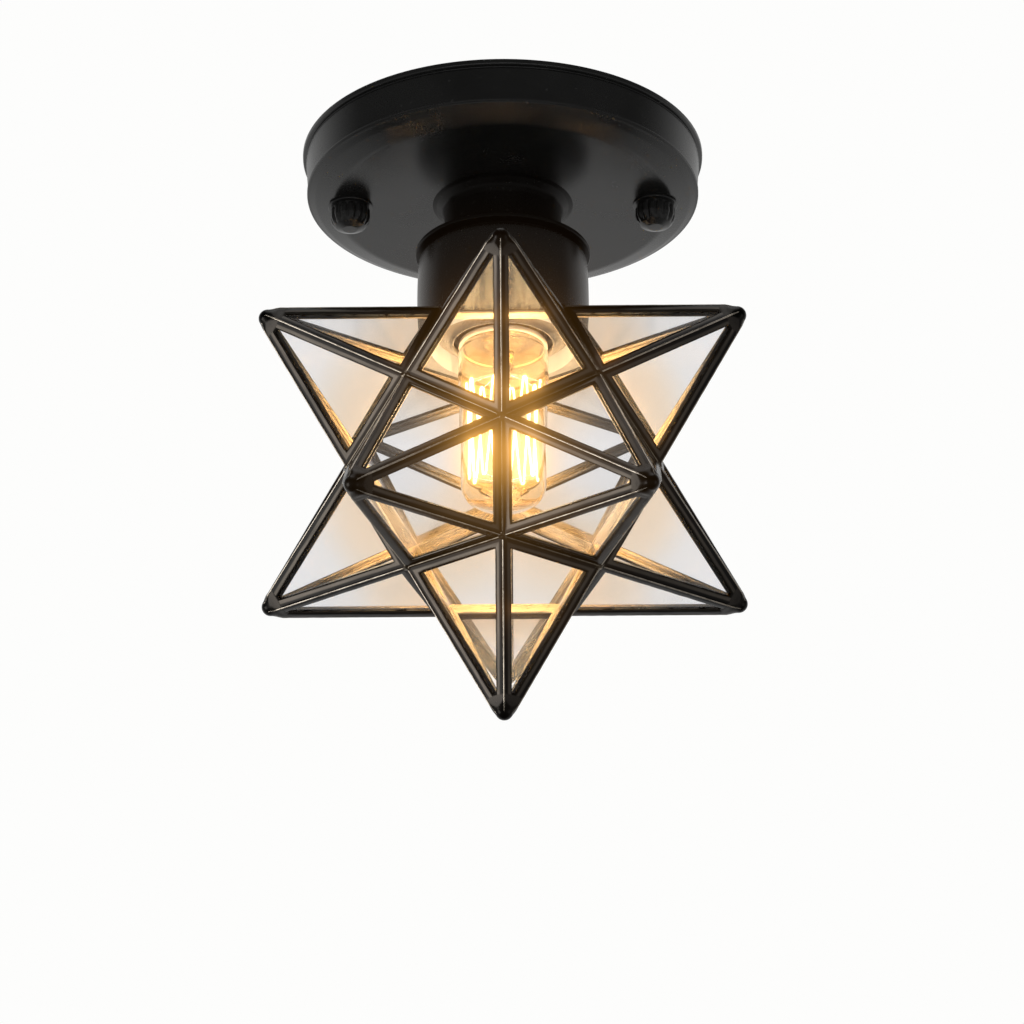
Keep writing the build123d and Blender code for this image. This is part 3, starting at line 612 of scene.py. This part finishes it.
UP, DOWN = Vector((0, 0, 1)), Vector((0, 0, -1))
POINTS = [
    ("upper_front", point_matrix(direction(0, TILT), UP)),
    ("upper_right", point_matrix(direction(72, TILT), UP)),
    ("upper_back_right", point_matrix(direction(144, TILT), UP)),
    ("upper_back_left", point_matrix(direction(216, TILT), UP)),
    ("upper_left", point_matrix(direction(288, TILT), UP)),
    ("lower_front_right", point_matrix(direction(36, -TILT), DOWN)),
    ("lower_right", point_matrix(direction(108, -TILT), DOWN)),
    ("lower_back", point_matrix(direction(180, -TILT), DOWN)),
    ("lower_left", point_matrix(direction(252, -TILT), DOWN)),
    ("lower_front_left", point_matrix(direction(324, -TILT), DOWN)),
    ("bottom", point_matrix(DOWN, direction(36, -TILT))),
]


def pane_axes(k):
    a = math.radians(72 * k)
    origin = Vector((CORE_IN * math.cos(a), CORE_IN * math.sin(a), CORE_D))
    x = Vector((-math.sin(a), math.cos(a), 0))
    z = Vector((math.cos(a) * math.cos(LEAN), math.sin(a) * math.cos(LEAN), math.sin(LEAN)))
    return origin, x, z.cross(x), z


def triangle(base_gap, side_gap):
    top = SLANT - side_gap / math.sin(HALF_APEX)
    x = (SLANT - base_gap) * math.tan(HALF_APEX) - side_gap / math.cos(HALF_APEX)
    return Vector((-x, base_gap)), Vector((x, base_gap)), Vector((0, top))


def base_corner(k):
    a = math.radians(36 + 72 * k)
    return Vector((VERTEX * math.cos(a), VERTEX * math.sin(a), CORE_D))


# cross-section of the folded strip round one pane: gap from the base, gap from the sides, height, distance across
STRIP = [
    (0.0, 0.0, 0.0, 0.0), (0.25, 0.25, 0.03, 0.3), (0.5, 0.5, 0.09, 0.5), (0.9, 0.9, 0.13, 0.95),
    (1.35, 1.35, 0.145, 1.45), (1.85, 1.85, 0.13, 2.0), (2.3, 2.3, 0.09, 2.45), (2.6, 2.6, 0.0, 2.75),
    (2.75, 2.75, -0.25, 2.95), (2.78, 2.78, -0.61, 3.1), (0.9, 1.9, -0.61, 3.1), (0.9, 1.9, -2.39, 3.1),
    (1.95, 3.12, -2.39, 3.1), (2.02, 3.18, -2.55, 3.0), (1.92, 3.1, -2.8, 2.8), (1.4, 2.85, -3.02, 2.3),
    (0.2, 2.6, -3.10, 1.5), (-1.2, 2.15, -3.05, 0.6), (-1.854, 1.854, -3.0, 0.0)]
INSIDE = 11  # from here on the profile is the bare inner side
ALONG_BASE, ALONG_SIDE = 12, 26


def strip_ring(bm, uvs, k, seed):
    """The folded strip all round one pane of a point that stands on +Z."""
    o, ax, ay, az = pane_axes(k)
    loops = []
    for base_gap, side_gap, h, across in STRIP:
        a, b, t = triangle(base_gap, side_gap)
        flat = []
        for start, end, n in ((a, b, ALONG_BASE), (b, t, ALONG_SIDE), (t, a, ALONG_SIDE)):
            for i in range(n):
                flat.append(start.lerp(end, i / n))
        ring = []
        for q in flat:
            p = o + ax * q.x + ay * q.y + az * h
            if -0.3 < h < 0.5 and base_gap > 0.2:
                w = noise.noise(p * 0.28 + Vector((seed, k, 0))) * 0.07 + noise.noise(p * 0.9 + Vector((0, seed, k))) * 0.03
                p = p + az * w
            ring.append(bm.verts.new(p))
        loops.append((ring, across))
    n = len(loops[0][0])
    lengths = [0.0]
    first = loops[0][0]
    for i in range(n):
        lengths.append(lengths[-1] + (first[(i + 1) % n].co - first[i].co).length)
    for row, ((low, va), (high, vb)) in enumerate(zip(loops, loops[1:])):
        for i in range(n):
            j = (i + 1) % n
            f = bm.faces.new((low[i], low[j], high[j], high[i]))
            f.material_index = 2 if row >= INSIDE else 0
            for loop, (u, v) in zip(f.loops, ((lengths[i], va), (lengths[i + 1], va), (lengths[i + 1], vb), (lengths[i], vb))):
                loop[uvs].uv = (u * MM + k * 0.13 + seed * 0.37, v * MM)
    # close the base, from the outer edge to the inner one
    outer, inner = loops[0][0], loops[-1][0]
    for i in range(ALONG_BASE):
        f = bm.faces.new((outer[i], outer[i + 1], inner[i + 1], inner[i]))
        for loop in f.loops:
            loop[uvs].uv = (0.0, 0.0015)


def end_radius(a, z):
    """The rounded end of a point, by angle and height: a pentagon that turns round and closes in a ball."""
    ball_z = TIP - BALL / math.sin(LEAN)
    touch = ball_z + BALL * math.sin(LEAN)
    if z >= touch:
        return math.sqrt(max(0.0, BALL ** 2 - (z - ball_z) ** 2))
    psi = ((a + math.radians(36)) % math.radians(72)) - math.radians(36)
    flat = (TIP - z) * math.tan(LEAN) + 0.14 * min(1.0, max(0.0, (z - 75.6) / 0.7)) * min(1.0, (touch - z) / 2.0)
    t = min(1.0, max(0.0, (z - 77.2) / (touch - 77.2)))
    t = t * t * (3 - 2 * t)
    circle = (1.225 - 0.225 * t) * flat
    soft = ((flat / math.cos(psi)) ** -26 + circle ** -26) ** (-1 / 26)
    return soft * (1 - t) + circle * t


strip_pieces = []


def point_frame(name, matrix, seed):
    bm = bmesh.new()
    uvs = bm.loops.layers.uv.new("strip")
    for k in range(5):
        strip_ring(bm, uvs, k, seed)
    bmesh.ops.remove_doubles(bm, verts=bm.verts, dist=2e-3)
    # the strips end inside the rounded end
    cut = bmesh.ops.bisect_plane(bm, geom=bm.verts[:] + bm.edges[:] + bm.faces[:], plane_co=(0, 0, 78.6),
                                 plane_no=(0, 0, 1), clear_outer=True)
    rim = [e for e in cut["geom_cut"] if isinstance(e, bmesh.types.BMEdge)]
    bmesh.ops.triangle_fill(bm, edges=rim, use_beauty=True, use_dissolve=False, normal=(0, 0, 1))
    # thin raised seam along each ridge
    rng = random.Random(seed * 7 + 1)
    tip = Vector((0, 0, TIP))
    seam_paths = []
    for k in range(5):
        start = base_corner(k)
        axis_in = Vector((-start.x, -start.y, 0)).normalized() * math.cos(math.radians(31)) + DOWN * 0.5
        axis_in = axis_in - (tip - start).normalized() * axis_in.dot((tip - start).normalized())
        axis_in.normalize()
        steps, path = 52, []
        for i in range(steps + 1):
            p = start.lerp(tip, 0.02 + 0.895 * i / steps) + axis_in * 0.12
            if p.z > 75.6:  # over the rounded end the seam lies on its surface
                flat_r = math.hypot(p.x, p.y)
                lies = min(flat_r, end_radius(math.atan2(p.y, p.x), p.z) - 0.12)
                p.x, p.y = p.x * lies / flat_r, p.y * lies / flat_r
            path.append(p)
        phase = rng.uniform(0, 50)
        seam_paths.append((path, phase, k))
    for v in bm.verts:
        if v.co.z > 76.0:
            here = math.hypot(v.co.x, v.co.y)
            most = end_radius(math.atan2(v.co.y, v.co.x), v.co.z) - 0.10
            if here > most:
                v.co.x *= most / here
                v.co.y *= most / here
    for path, phase, k in seam_paths:
        tube(bm, path, lambda i: (0.25 + 0.035 * noise.noise(Vector((i * 0.35 + phase, k, seed)))) * min(1.0, (54 - i) / 6),
             10, 1)
    bmesh.ops.transform(bm, matrix=matrix, verts=bm.verts)
    ob = finish_mesh(name + "_came", bm, [M["strip"], M["ridge"], M["inner"]], "shade", (name + "_frame",),
                     55)
    strip_pieces.append(ob)


def rounded_end(bm, matrix, seed):
    """The five strips run together into one smooth dark end."""
    rows, sides = [], 60
    ball_z = TIP - BALL / math.sin(LEAN)
    zs = [75.35, 75.5, 75.8] + [76.1 + 0.35 * i for i in range(13)]
    zs += [ball_z + BALL * math.sin(math.radians(a)) for a in (27, 33, 39, 45, 51, 57, 63, 69, 75, 81, 86)]
    for z in zs:
        row = []
        for s in range(sides):
            a = 2 * math.pi * s / sides
            r = end_radius(a, z)
            if z < 75.9:
                r -= 0.16 * (75.9 - z) / 0.55
            r *= 1 + 0.014 * noise.noise(Vector((math.cos(a) * 1.6, math.sin(a) * 1.6, z * 0.45 + seed * 3)))
            row.append(bm.verts.new(matrix @ Vector((r * math.cos(a), r * math.sin(a), z))))
        rows.append(row)
    for low, high in zip(rows, rows[1:]):
        for s in range(sides):
            t = (s + 1) % sides
            bm.faces.new((low[s], low[t], high[t], high[s])).material_index = 2
    end = bm.verts.new(matrix @ Vector((0, 0, ball_z + BALL)))
    foot = bm.verts.new(matrix @ Vector((0, 0, 76.6)))
    for s in range(sides):
        bm.faces.new((rows[-1][s], rows[-1][(s + 1) % sides], end)).material_index = 2
        bm.faces.new((rows[0][(s + 1) % sides], rows[0][s], foot)).material_index = 2


for number, (name, matrix) in enumerate(POINTS):
    point_frame(name, matrix, number)
    give(name + "_panes", M["pane"])

# solder: knots at the inner corners and a seam along every valley
corners, valleys = [], []
for name, matrix in POINTS:
    for k in range(5):
        c = matrix @ base_corner(k)
        if all((c - d).length > 1 for d in corners):
            corners.append(c)
        a, b = matrix @ base_corner(k - 1), matrix @ base_corner(k)
        if all(((a + b) / 2 - (d + e) / 2).length > 1 for d, e in valleys):
            valleys.append((a, b))
star_mm = STAR / MM
bm = bmesh.new()
for number, (a, b) in enumerate(valleys):
    middle = (a + b) / 2
    out = (middle - star_mm).normalized()
    path = [a.lerp(b, 0.03 + 0.94 * i / 24) + out * 0.06 for i in range(25)]
    tube(bm, path, lambda i: 0.42 + 0.09 * noise.noise(Vector((i * 0.4, number * 3.1, 0))), 10, 0)
for number, c in enumerate(corners):
    out = (c - star_mm).normalized()
    made = bmesh.ops.create_icosphere(bm, subdivisions=4, radius=1.0)
    spin_to = UP.rotation_difference(out).to_matrix()
    for v in made["verts"]:
        p = v.co.copy()
        lump = 1 + 0.30 * noise.noise(p * 1.9 + Vector((number * 5.3, 0, 0))) + 0.12 * noise.noise(p * 4.5 + Vector((0, number, 0)))
        p = Vector((p.x * 1.62, p.y * 1.62, p.z * 1.15)) * lump
        v.co = (c + out * -0.62 + spin_to @ p)
    for f in {f for v in made["verts"] for f in v.link_faces}:
        f.material_index = 1
knots = finish_mesh("solder_knots", bm, [M["solder"], M["solder"]], "shade", ("solder_joints",), 60)
bm = bmesh.new()
for number, (name, matrix) in enumerate(POINTS):
    rounded_end(bm, matrix, number)
for f in bm.faces:
    f.material_index = 0
ends = finish_mesh("solder_ends", bm, [M["end"]], "shade", ("solder_tips",), 32)
strip_pieces += [knots, ends]
give("shade_top_plate", M["bronze"])
give("shade_collar", M["bronze"])

# -------------------------------------------------------------------- bulb
BULB_R, BULB_END = 12.7, -114.6
corner_r = 5.5
corner_c = (BULB_R - corner_r, BULB_END + 7.1)
rise = (corner_c[0] ** 2 - (7.1 - corner_r) ** 2) / (2 * (7.1 - corner_r))
dome_r = rise + 7.1
dome_z = BULB_END + dome_r
turn_deg = -math.degrees(math.atan(rise / corner_c[0]))


def bulb_line(inset, steps=14):
    line = [Vector((11.6 - inset, -58.0)), Vector((11.6 - inset, -63.3))]
    for i in range(7):
        t = i / 6
        line.append(Vector((11.6 - inset + 1.1 * (3 * t * t - 2 * t ** 3), -63.6 - 2.2 * t)))
    line += [Vector((BULB_R - inset, z)) for z in (-70, -80, -90, -100)]
    for i in range(steps + 1):
        a = math.radians(turn_deg * i / steps)
        line.append(Vector((corner_c[0] + (corner_r - inset) * math.cos(a), corner_c[1] + (corner_r - inset) * math.sin(a))))
    for i in range(1, steps + 1):
        a = math.radians(turn_deg + (-90 - turn_deg) * i / steps)
        line.append(Vector(((dome_r - inset) * math.cos(a) if i < steps else 0.0, dome_z + (dome_r - inset) * math.sin(a))))
    return line


bm = bmesh.new()
spin(bm, bulb_line(0.0) + list(reversed(bulb_line(0.8))), 144, closed=True)
finish_mesh("bulb_envelope", bm, [M["bulb"]], "bulb", ("bulb_glass",), 50)

# inner glass: flared tube, pinched press and the centre rod with its button
flare = [(0, -58.6), (9.6, -58.6, 0.5), (10.7, -58.6, 0.3), (10.7, -60.0, 1.2), (6.2, -62.6, 3.0), (4.4, -65.5, 2.0),
         (4.2, -68.4, 1.0), (3.0, -70.2, 0.9), (1.35, -70.9, 0.5), (1.0, -71.9, 0.5), (1.0, -88.0), (1.0, -105.2, 0.4),
         (1.65, -105.9, 0.5), (1.65, -107.0, 0.6), (0, -107.2)]
lathe("bulb_inner_stem", flare, M["stem_glass"], "bulb", ("bulb_stem_glass",), 64,
      radius=lambda r, z, a: r * (1 - 0.38 * math.cos(a) ** 2 * min(1.0, max(0.0, (-63.5 - z) / 2.0)) if -70.6 < z < -63.5 else 1.0),
      closed=False, steps=5)

# cage filament: one wire up and down between hooks on two spiders
CAGE_X, CAGE_Y, TOP_Z, LOW_Z, HOOKS = 10.5, 4.2, -74.3, -105.7, 8


def on_cage(turn_at, z, less=0.0):
    return Vector(((CAGE_X - less) * math.cos(turn_at), (CAGE_Y - less) * math.sin(turn_at), z))


bm = bmesh.new()
path = []
for i in range(HOOKS):
    for z, shift in ((LOW_Z, 0.25), (TOP_Z, 0.75)):
        a = 2 * math.pi / HOOKS * (i + shift)
        s = 1 if z == TOP_Z else -1
        # a small rounded turn over each hook
        for d, dz in ((-0.05, -0.7), (-0.035, -0.2), (0.0, 0.0), (0.035, -0.2), (0.05, -0.7)):
            path.append(on_cage(a + d, z + s * dz))
fine = []
for p, q in zip(path, path[1:]):
    n = 14 if (q - p).length > 5 else 2
    for i in range(n):
        t = i / n
        v = p.lerp(q, t)
        if n > 2:  # a slack wire bows a little
            v += Vector((-v.x, -v.y, 0)) * 0.025 * math.sin(math.pi * t)
        fine.append(v)
fine.append(path[-1])
tube(bm, fine, 0.30, 8, 0)
finish_mesh("cage_filament", bm, [M["hot"]], "bulb", ("bulb_filament",), 80).visible_glossy = False

bm = bmesh.new()
for z, hook_z, shift in ((-72.0, TOP_Z, 0.75), (-106.5, LOW_Z, 0.25)):
    s = 1 if hook_z == TOP_Z else -1
    spin(bm, rounded([(1.02, z - 0.5), (1.9, z - 0.5, 0.3), (1.9, z + 0.5, 0.3), (1.02, z + 0.5)], 4), 32)
    for i in range(HOOKS):
        a = 2 * math.pi / HOOKS * (i + shift)
        end = on_cage(a, hook_z - 0.5 * s)
        out = Vector((end.x, end.y, 0)).normalized()
        reach = math.hypot(end.x, end.y)
        arm = smooth_path([out * 1.6 + UP * z, out * (0.45 * reach) + UP * (z + (hook_z - z) * 0.25),
                           out * (reach - 0.5) + UP * (hook_z - 0.3 * s), out * (reach + 0.42) + UP * (hook_z - 0.25 * s)],
                          1.5, 4)
        tube(bm, arm, 0.13, 7)
for s in (1, -1):  # lead-in wires from the press to the upper spider
    tube(bm, smooth_path([Vector((2.2 * s, 0, -66.0)), Vector((2.6 * s, 0.6, -69.0)), Vector((1.7 * s, 0.3, -71.4))], 1.5), 0.17, 7)
finish_mesh("cage_supports", bm, [M["steel"]], "bulb", ("bulb_support_wires",), 60)

# brass cap with a rolled thread
PITCH = 25.4 / 7


def helix(bm, low_z, high_z, root, crest, pitch, segments=96, wall=0.45, ends=(), material=0, hand=1):
    """A rolled thread: a shell whose radius follows a helix. ends is not used."""
    rows = []
    n = int((high_z - low_z) / (pitch / 14))
    for i in range(n + 1):
        z = low_z + (high_z - low_z) * i / n
        fade = min(1.0, (z - low_z) / (pitch * 0.8), (high_z - z) / (pitch * 0.8))
        row = []
        for s in range(segments):
            a = 2 * math.pi * s / segments
            w = 0.5 + 0.5 * math.cos(2 * math.pi * z / pitch - hand * a)
            row.append(bm.verts.new(((root + (crest - root) * w ** 1.3 * fade) * math.cos(a),
                                     (root + (crest - root) * w ** 1.3 * fade) * math.sin(a), z)))
        rows.append(row)
    return rows


def skin(bm, rows, material=0, closed=False):
    for low, high in list(zip(rows, rows[1:])) + ([(rows[-1], rows[0])] if closed else []):
        n = max(len(low), len(high))
        for s in range(n):
            t = (s + 1) % n
            if len(low) == 1:
                f = bm.faces.new((low[0], high[t], high[s]))
            elif len(high) == 1:
                f = bm.faces.new((low[s], low[t], high[0]))
            else:
                f = bm.faces.new((low[s], low[t], high[t], high[s]))
            f.material_index = material


def hoop(bm, r, z, segments=96):
    return [bm.verts.new((r * math.cos(2 * math.pi * s / segments), r * math.sin(2 * math.pi * s / segments), z))
            for s in range(segments)]


bm = bmesh.new()
rows = [hoop(bm, 11.66, -63.45), hoop(bm, 12.3, -63.5), hoop(bm, 12.5, -63.3), hoop(bm, 12.45, -62.4)]
rows += helix(bm, -62.0, -42.6, 12.2, 13.0, PITCH)
rows += [hoop(bm, 11.95, -42.2), hoop(bm, 10.0, -41.1), hoop(bm, 7.2, -40.05), hoop(bm, 6.65, -40.0),
         hoop(bm, 6.65, -40.45), hoop(bm, 9.8, -41.7), hoop(bm, 11.5, -42.7), hoop(bm, 11.66, -43.2)]
skin(bm, rows, closed=True)
for f in bm.faces:  # pale cement inside, between the cap and the glass
    c = f.calc_center_median()
    if math.hypot(c.x, c.y) < 11.9 and c.z < -42.0:
        f.material_index = 1
    elif c.z < -62.1:
        f.material_index = 2
finish_mesh("cap_rolled_thread", bm, [M["brass"], M["cement"], M["rim"]], "bulb", ("bulb_cap",), 50)

# ------------------------------------------------- hidden and upper hardware
for node, material in (
        ("mounting_bracket", "zinc"), ("stud_locknuts", "zinc"), ("ground_screw", "green"), ("nipple", "brass"),
        ("nipple_locknut", "zinc"), ("lock_washer", "zinc"), ("socket_cap", "phenolic"), ("socket_body", "phenolic"),
        ("socket_screw_shell", "nickel"), ("socket_contact_tab", "brass"), ("lead_wire_live", "wire_black"),
        ("lead_wire_neutral", "wire_white"), ("ground_wire", "copper"), ("wire_connectors", "orange"),
        ("bulb_insulator", "vitrite"), ("bulb_contact", "tin"), ("canopy_studs", "steel"),
        ("shade_screw_front", "nut"), ("shade_screw_back_right", "nut"), ("shade_screw_back_left", "nut")):
    give(node, M[material])

# ---------------------------------------------------------------- lighting
world = bpy.data.worlds.new("studio")
scene.world = world
world.use_nodes = True
nt = world.node_tree
nt.nodes.clear()
w_out = nt.nodes.new("ShaderNodeOutputWorld")
w_coord = nt.nodes.new("ShaderNodeTexCoord")
w_sep = nt.nodes.new("ShaderNodeSeparateXYZ")
nt.links.new(w_coord.outputs["Generated"], w_sep.inputs[0])


def w_ramp(socket, stops):
    n = nt.nodes.new("ShaderNodeValToRGB")
    nt.links.new(socket, n.inputs[0])
    r = n.color_ramp
    while len(r.elements) > 1:
        r.elements.remove(r.elements[-1])
    for i, (at, value) in enumerate(stops):
        e = r.elements[0] if i == 0 else r.elements.new(at)
        e.position = at
        e.color = (value, value, value * 0.99, 1)
    return n.outputs[0]


def w_math(kind, a, b):
    n = nt.nodes.new("ShaderNodeMath")
    n.operation = kind
    for i, v in enumerate((a, b)):
        if isinstance(v, bpy.types.NodeSocket):
            nt.links.new(v, n.inputs[i])
        else:
            n.inputs[i].default_value = v
    return n.outputs[0]


height = w_math("MULTIPLY_ADD", w_sep.outputs["Z"], 0.5)
height.node.inputs[2].default_value = 0.5
depth = w_math("MULTIPLY_ADD", w_sep.outputs["Y"], 0.5)
depth.node.inputs[2].default_value = 0.5
front = w_ramp(height, ((0.0, 0.10), (0.12, 0.20), (0.30, 0.30), (0.44, 0.22), (0.55, 0.10), (0.75, 0.06), (1.0, 0.20)))
rear = w_ramp(height, ((0.0, 0.10), (0.08, 0.16), (0.17, 0.55), (0.28, 0.70), (0.5, 0.66), (0.72, 0.55), (1.0, 0.25)))
mix = nt.nodes.new("ShaderNodeMix")
mix.data_type = "RGBA"
nt.links.new(w_ramp(depth, ((0.0, 0.0), (0.52, 0.0), (0.80, 1.0))), mix.inputs[0])
nt.links.new(front, mix.inputs[6])
nt.links.new(rear, mix.inputs[7])
studio = nt.nodes.new("ShaderNodeBackground")
nt.links.new(mix.outputs[2], studio.inputs["Color"])
studio.inputs["Strength"].default_value = 1.0
paper = nt.nodes.new("ShaderNodeBackground")
paper.inputs["Color"].default_value = (0.982, 0.982, 0.974, 1)
path_node = nt.nodes.new("ShaderNodeLightPath")
seen = w_math("MAXIMUM", path_node.outputs["Is Camera Ray"], path_node.outputs["Is Transmission Ray"])
which = nt.nodes.new("ShaderNodeMixShader")
even = nt.nodes.new("ShaderNodeBackground")
even.inputs["Color"].default_value = (0.62, 0.62, 0.615, 1)
spread = nt.nodes.new("ShaderNodeMixShader")
nt.links.new(path_node.outputs["Is Diffuse Ray"], spread.inputs[0])
nt.links.new(studio.outputs[0], spread.inputs[1])
nt.links.new(even.outputs[0], spread.inputs[2])
nt.links.new(seen, which.inputs[0])
nt.links.new(spread.outputs[0], which.inputs[1])
nt.links.new(paper.outputs[0], which.inputs[2])
nt.links.new(which.outputs[0], w_out.inputs["Surface"])


def soft_box(name, place, target, size, power, colour=(1, 1, 1)):
    data = bpy.data.lights.new(name, "AREA")
    data.shape = "RECTANGLE"
    data.size, data.size_y = size
    data.energy = power
    data.color = colour
    ob = bpy.data.objects.new(name, data)
    scene.collection.objects.link(ob)
    ob.location = place
    ob.rotation_mode = "QUATERNION"
    ob.rotation_quaternion = (Vector(target) - Vector(place)).to_track_quat("-Z", "Y")
    ob.visible_camera = False
    ob.visible_transmission = False
    ob.visible_glossy = False
    return ob


def only(light, pieces):
    """The light reaches only these pieces."""
    group = bpy.data.collections.new(light.name + "_reaches")
    for ob in pieces:
        group.objects.link(ob)
    light.light_linking.receiver_collection = group


side_box = soft_box("side", (-1.34, -0.50, -0.53), (0, 0, -0.10), (0.85, 0.85), 15.0)
side_box.visible_glossy = True
only(side_box, strip_pieces)
for box in (soft_box("top", (0, -0.22, 1.25), (0, 0, -0.10), (1.0, 1.0), 4.5),
            soft_box("right", (1.34, -0.50, -0.53), (0, 0, -0.10), (0.85, 0.85), 1.8)):
    box.visible_glossy = True
    only(box, strip_pieces)
edge_box = soft_box("edge", (0, -2.0, -0.62), (0, 0, -0.01), (2.6, 0.30), 5.0)
edge_box.visible_glossy = True
only(edge_box, [canopy])
soft_box("key", (-1.1, -1.6, -1.0), (0, 0, -0.06), (0.5, 0.5), 4.0)
soft_box("fill", (1.4, -1.2, -0.7), (0, 0, -0.06), (0.4, 0.7), 3.0)

lamps = []
for i, z in enumerate((-0.083, -0.092, -0.102)):
    data = bpy.data.lights.new("filament_glow_%d" % i, "POINT")
    data.energy = 0.27
    data.color = (1.0, 0.77, 0.50)
    data.shadow_soft_size = 0.006
    ob = bpy.data.objects.new("filament_glow_%d" % i, data)
    scene.collection.objects.link(ob)
    ob.location = (0, 0, z)
    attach(ob, "bulb")
    ob.visible_camera = False
    ob.visible_transmission = False
    ob.visible_glossy = True
    lamps.append(ob)

# the lamp's own light is too weak to show on the black canopy in daylight
near = {ob.name: ob for ob in list(scene.objects) + list(NODES.values()) if ob.type == "MESH"
        and not ob.name.startswith(("canopy", "cap_nut", "washer", "stem_neck", "cup_shell"))}.values()
pane_pieces = [ob for ob in near if ob.name.endswith("_panes")]
for lamp in lamps:
    only(lamp, [ob for ob in near if ob not in pane_pieces])

# the wires' bright ends, as the panes mirror them
for i, (x, y, z) in enumerate(((-0.0075, -0.003, -0.0765), (0.0075, -0.003, -0.0765), (-0.009, -0.001, -0.088),
                               (0.009, -0.001, -0.088), (-0.006, -0.003, -0.1035), (0.006, -0.003, -0.1035),
                               (0.0, -0.004, -0.095))):
    data = bpy.data.lights.new("wire_spark_%d" % i, "POINT")
    data.energy = 0.008
    data.color = (1.0, 0.84, 0.60)
    data.shadow_soft_size = 0.0022
    ob = bpy.data.objects.new("wire_spark_%d" % i, data)
    scene.collection.objects.link(ob)
    ob.location = (x, y, z)
    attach(ob, "bulb")
    ob.visible_camera = False
    ob.visible_transmission = False
    ob.visible_diffuse = False
    only(ob, pane_pieces)

# pale floor, far below the hanging light
floor_mesh = bpy.data.meshes.new("floor")
floor_mesh.from_pydata([(-9, -9, -2.3), (9, -9, -2.3), (9, 9, -2.3), (-9, 9, -2.3)], [], [(0, 1, 2, 3)])
floor = bpy.data.objects.new("floor", floor_mesh)
scene.collection.objects.link(floor)
pale = Mat("pale_floor")
pale.set(Base_Color=pale.mix(pale.noise(pale.space(), 3.0), (0.80, 0.80, 0.79), (0.84, 0.84, 0.83)), Roughness=0.8)
floor_mesh.materials.append(pale.mat)
floor.visible_glossy = False

# ------------------------------------------------------------------ picture
scene.view_settings.view_transform = "Standard"
scene.view_settings.look = "None"
scene.cycles.max_bounces = 20
scene.cycles.transmission_bounces = 20
scene.cycles.transparent_max_bounces = 24
scene.cycles.glossy_bounces = 6
scene.cycles.diffuse_bounces = 3
scene.cycles.sample_clamp_indirect = 6.0

scene.use_nodes = True
tree = scene.node_tree
tree.nodes.clear()
layers = tree.nodes.new("CompositorNodeRLayers")
image = layers.outputs["Image"]
for strength, size, colour in ((2.3, 0.16, (1.0, 0.74, 0.32, 1.0)),):
    bloom = tree.nodes.new("CompositorNodeGlare")
    bloom.glare_type = "BLOOM"
    bloom.inputs["Threshold"].default_value = 1.3
    bloom.inputs["Strength"].default_value = strength
    bloom.inputs["Size"].default_value = size
    bloom.inputs["Maximum"].default_value = 40.0
    bloom.inputs["Tint"].default_value = colour
    tree.links.new(image, bloom.inputs["Image"])
    image = bloom.outputs["Image"]
composite = tree.nodes.new("CompositorNodeComposite")
tree.links.new(image, composite.inputs["Image"])
